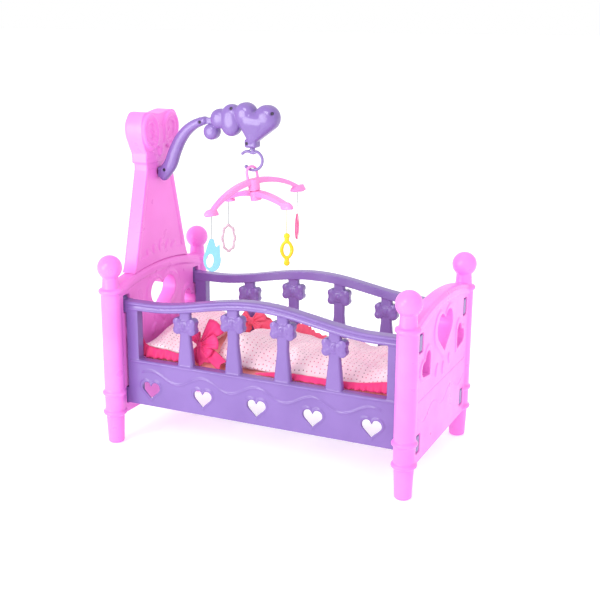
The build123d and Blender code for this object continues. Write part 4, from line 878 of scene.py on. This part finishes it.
def sheet_piece(name, rows, material, width, nodes=()):
    """A sheet of cloth of one cut width from rows of points, with its pattern laid flat.

    Its cut length is the area of its faces divided by its cut width.
    """
    form = bmesh.new()
    pattern = form.loops.layers.uv.new("weave")
    grid = [[form.verts.new(Vector(spot) * mm) for spot in row] for row in rows]
    high = len(rows) - 1
    wide = len(rows[0]) - 1
    spread = 0.0
    for i in range(high):
        for j in range(wide):
            corner, one, two, three = (
                Vector(rows[a][b]) for a, b in ((i, j), (i + 1, j), (i + 1, j + 1), (i, j + 1)))
            spread += ((one - corner).cross(two - corner).length
                       + (two - corner).cross(three - corner).length) / 2
    flat = (width, spread / width)
    for i in range(high):
        for j in range(wide):
            corners = ((i, j), (i, j + 1), (i + 1, j + 1), (i + 1, j))
            face = form.faces.new([grid[a][b] for a, b in corners])
            for loop, (a, b) in zip(face.loops, corners):
                loop[pattern].uv = (a / high * flat[1] * mm, b / wide * flat[0] * mm)
    piece = stand(form, name, material, "root", nodes)
    wall = piece.modifiers.new("wall", "SOLIDIFY")
    wall.thickness = cloth_thickness * mm
    wall.offset = 0
    settle(piece)
    piece.data.shade_smooth()
    return piece


def ruffle(name, sewn, free, wave, pleats, material, width, seed, out=(0, -1, 0)):
    """A strip gathered along its sewn edge, whose free edge stands in waves."""
    rows = []
    count = pleats * 10
    for i in range(count + 1):
        t = i / count
        top = along(sewn, t)
        low = along(free, t)
        phase = 2 * math.pi * pleats * t + 1.8 * noise.noise(Vector((t * pleats * 0.7, seed, 0)))
        height = 0.65 + 0.5 * noise.noise(Vector((t * pleats * 0.4, 0, seed)))
        row = []
        for j in range(9):
            v = j / 8
            spot = top.lerp(low, v)
            spot += Vector(out) * (wave * height * math.sin(phase) * (0.25 + 0.75 * v)
                                   + 1.2 * math.sin(math.pi * v))
            spot.x += 0.5 * wave * math.cos(phase * 2) * v * 0.5
            row.append(spot)
        rows.append(row)
    sheet_piece(name, rows, material, width)


def loop_rows(start, tip, half, deep, facing, seed):
    """Rows of one loop of ribbon: out from the knot to its tip and back behind itself."""
    pleat = 1.4
    start = Vector(start)
    reach = Vector(tip) - start
    facing = Vector(facing).normalized()
    ahead = reach.normalized()
    across = ahead.cross(facing).normalized()
    rows = []
    for i in range(33):
        t = i / 32
        out = math.sin(math.pi * t) ** 0.8
        depth = deep * math.sin(2 * math.pi * t) * (1 - 0.3 * t)
        wide = half * (0.22 + 0.78 * out ** 1.2)
        row = []
        for j in range(17):
            v = -1 + j / 8
            crimp = pleat * math.cos(v * 7.5 + seed) * (1 - 0.75 * out)
            crimp += 0.9 * math.cos(v * 3.1 + seed * 2)
            sag = -0.12 * reach.length * v * v * out
            row.append(start + ahead * (reach.length * out + sag) + across * (wide * v)
                       + facing * (depth + crimp))
        rows.append(row)
    return rows


def tail_rows(start, tip, half, facing, seed):
    """Rows of one loose end of ribbon, with a notched end."""
    wave, notch = 2.0, 5.0
    start = Vector(start)
    reach = Vector(tip) - start
    facing = Vector(facing).normalized()
    ahead = reach.normalized()
    across = ahead.cross(facing).normalized()
    rows = []
    for i in range(21):
        t = i / 20
        wide = half * (0.3 + 0.7 * min(1.0, t * 2.2))
        row = []
        for j in range(11):
            v = -1 + j / 5
            crimp = 1.2 * math.cos(v * 6 + seed) * (1 - t) + wave * math.sin(t * 5 + seed + v)
            end = notch * (abs(v) - 0.5) * t ** 6
            row.append(start + ahead * (reach.length * t + end) + across * (wide * v)
                       + facing * crimp)
        rows.append(row)
    return rows


def ribbon_bow(name, node, knot, loops, tails, facing, material):
    """A tied bow: loops and loose ends, and the knot round them.

    loops give a tip, half a width and a depth, tails a tip and half a width. The first loop stands
    for the CAD node. A loop narrows to the knot, so its cut width is less than its widest.
    """
    loop_cut, end_cut, knot_cut = 1.7, 2.0, 13.0
    for k, (tip, half, deep) in enumerate(loops):
        rows = loop_rows(knot, tip, half, deep, facing, 1.7 * k)
        sheet_piece(f"{name}_loop_{k + 1}", rows, material, loop_cut * half,
                                  [node] if k == 0 else [])
    for k, (tip, half) in enumerate(tails):
        rows = tail_rows(knot, tip, half, facing, 2.3 * k)
        sheet_piece(f"{name}_end_{k + 1}", rows, material, end_cut * half)
    wrap = []
    facing = Vector(facing).normalized()
    for i in range(25):
        a = 2 * math.pi * i / 24
        row = []
        for j in range(9):
            v = -1 + j / 4
            pinch = 1 - 0.18 * v * v + 0.05 * math.cos(v * 9)
            row.append(Vector(knot) + Vector((math.sin(a) * 5.6 * pinch, 0, 0))
                       + facing * math.cos(a) * 4.6 * pinch + Vector((0, 0, 6.5 * v)))
        wrap.append(row)
    sheet_piece(name + "_knot", wrap, material, knot_cut)


ribbon_bow("front_bow", "ribbon_bow_front", (-111, -80, 159),
           (((-80, -76, 196), 15, 6), ((-77, -84, 171), 12, 5), ((-88, -85, 150), 11, 4),
            ((-124, -74, 174), 10, 4)),
           (((-98, -90, 134), 10), ((-68, -90, 136), 9), ((-118, -88, 136), 8)),
           (0.25, -1, 0.25), ruffle_cloth)
ribbon_bow("back_bow", "ribbon_bow_back", (-104, 76, 157),
           (((-82, 80, 172), 12, 4), ((-122, 78, 166), 10, 4), ((-86, 74, 147), 9, 4)),
           (((-62, 78, 150), 10), ((-116, 74, 139), 8)), (0.25, -1, 0.35), coral_cloth)
ruffle("quilt_hem_front",
       [(-12, -91, 133), (30, -85, 138), (60, -85.5, 139), (110, -86, 139), (150, -86, 141),
        (180, -86, 146), (207, -86, 151)],
       [(-10, -93, 131.8), (30, -93.5, 131.6), (60, -93, 131.8), (110, -93.5, 131.6),
        (150, -93, 132.0), (180, -93, 133.0), (208, -93, 134.0)],
       wave=2.2, pleats=17, material=ruffle_cloth, width=14.0, seed=4.0)
ruffle("quilt_hem_back",
       [(-88, 86, 149), (-50, 86, 143), (-15, 86, 143), (12, 86, 140), (80, 86, 134),
        (205, 86, 133)],
       [(-88, 92, 166), (-50, 92, 150), (-15, 92, 160), (12, 92, 146), (80, 92, 139),
        (205, 92, 136)],
       wave=2.0, pleats=19, material=coral_cloth, width=13.0, seed=9.0,
       out=(0, 0.6, 0.8))
ruffle("pillow_hem_front",
       [(-210, -82, 158), (-202, -86, 150), (-184, -87, 146), (-165, -87, 146), (-145, -87, 143),
        (-124, -85, 142)],
       [(-212, -90, 134), (-203, -93, 132.5), (-184, -94, 132), (-165, -94, 133),
        (-145, -93.5, 132), (-124, -92, 133)],
       wave=2.8, pleats=8, material=ruffle_cloth, width=17.0, seed=2.0)

# ---- camera, light and floor --------------------------------------------------------------------
eye = Vector((0.6599, -1.3986, 0.6385))
aim = Vector((0.01835, 0.0, 0.2255))
roll = math.radians(0.346)
ahead = (aim - eye).normalized()
across = ahead.cross(Vector((0, 0, 1))).normalized()
above = across.cross(ahead)
right = math.cos(roll) * across + math.sin(roll) * above
up = -math.sin(roll) * across + math.cos(roll) * above
lens = bpy.data.cameras.new("camera")
lens.lens = 63.16
lens.sensor_width = 36.0
lens.clip_start = 0.01
camera = bpy.data.objects.new("camera", lens)
camera.matrix_world = Matrix((
    (right.x, up.x, -ahead.x, eye.x),
    (right.y, up.y, -ahead.y, eye.y),
    (right.z, up.z, -ahead.z, eye.z),
    (0, 0, 0, 1)))
scene.collection.objects.link(camera)
scene.camera = camera

floor_form = bmesh.new()
bmesh.ops.create_grid(floor_form, x_segments=1, y_segments=1, size=40.0)
floor_mesh = bpy.data.meshes.new("floor")
floor_form.to_mesh(floor_mesh)
floor_form.free()
floor = bpy.data.objects.new("floor", floor_mesh)
floor_paint, _, floor_shader = new_material("matt_white_paper", "#ffffff", 0.9)
floor_shader.inputs["Emission Color"].default_value = colour("#ffffff")
floor_shader.inputs["Emission Strength"].default_value = 0.3
floor_mesh.materials.append(floor_paint)
scene.collection.objects.link(floor)

world = bpy.data.worlds.new("studio")
world.use_nodes = True
world.node_tree.nodes["Background"].inputs["Color"].default_value = colour("#ffffff")
world.node_tree.nodes["Background"].inputs["Strength"].default_value = 1.0
scene.world = world


def soft_light(name, spot, target, size, power):
    """A square soft box, with its size in metres and its power in watts."""
    lamp = bpy.data.lights.new(name, "AREA")
    lamp.shape = "SQUARE"
    lamp.size = size
    lamp.energy = power
    box = bpy.data.objects.new(name, lamp)
    box.location = spot
    box.rotation_euler = (Vector(target) - Vector(spot)).to_track_quat("-Z", "Y").to_euler()
    scene.collection.objects.link(box)


soft_light("key_box", (-0.38, -1.55, 1.12), (-0.05, 0, 0.38), 0.55, 9)
soft_light("low_left_box", (-0.80, -1.38, 0.42), (-0.08, 0, 0.42), 0.6, 8)
soft_light("right_box", (1.3, -1.0, 1.1), (0, 0, 0.25), 0.6, 1.6)
soft_light("top_box", (0.0, 0.3, 1.9), (0, 0, 0.2), 1.2, 3)
scene.view_settings.view_transform = "Standard"
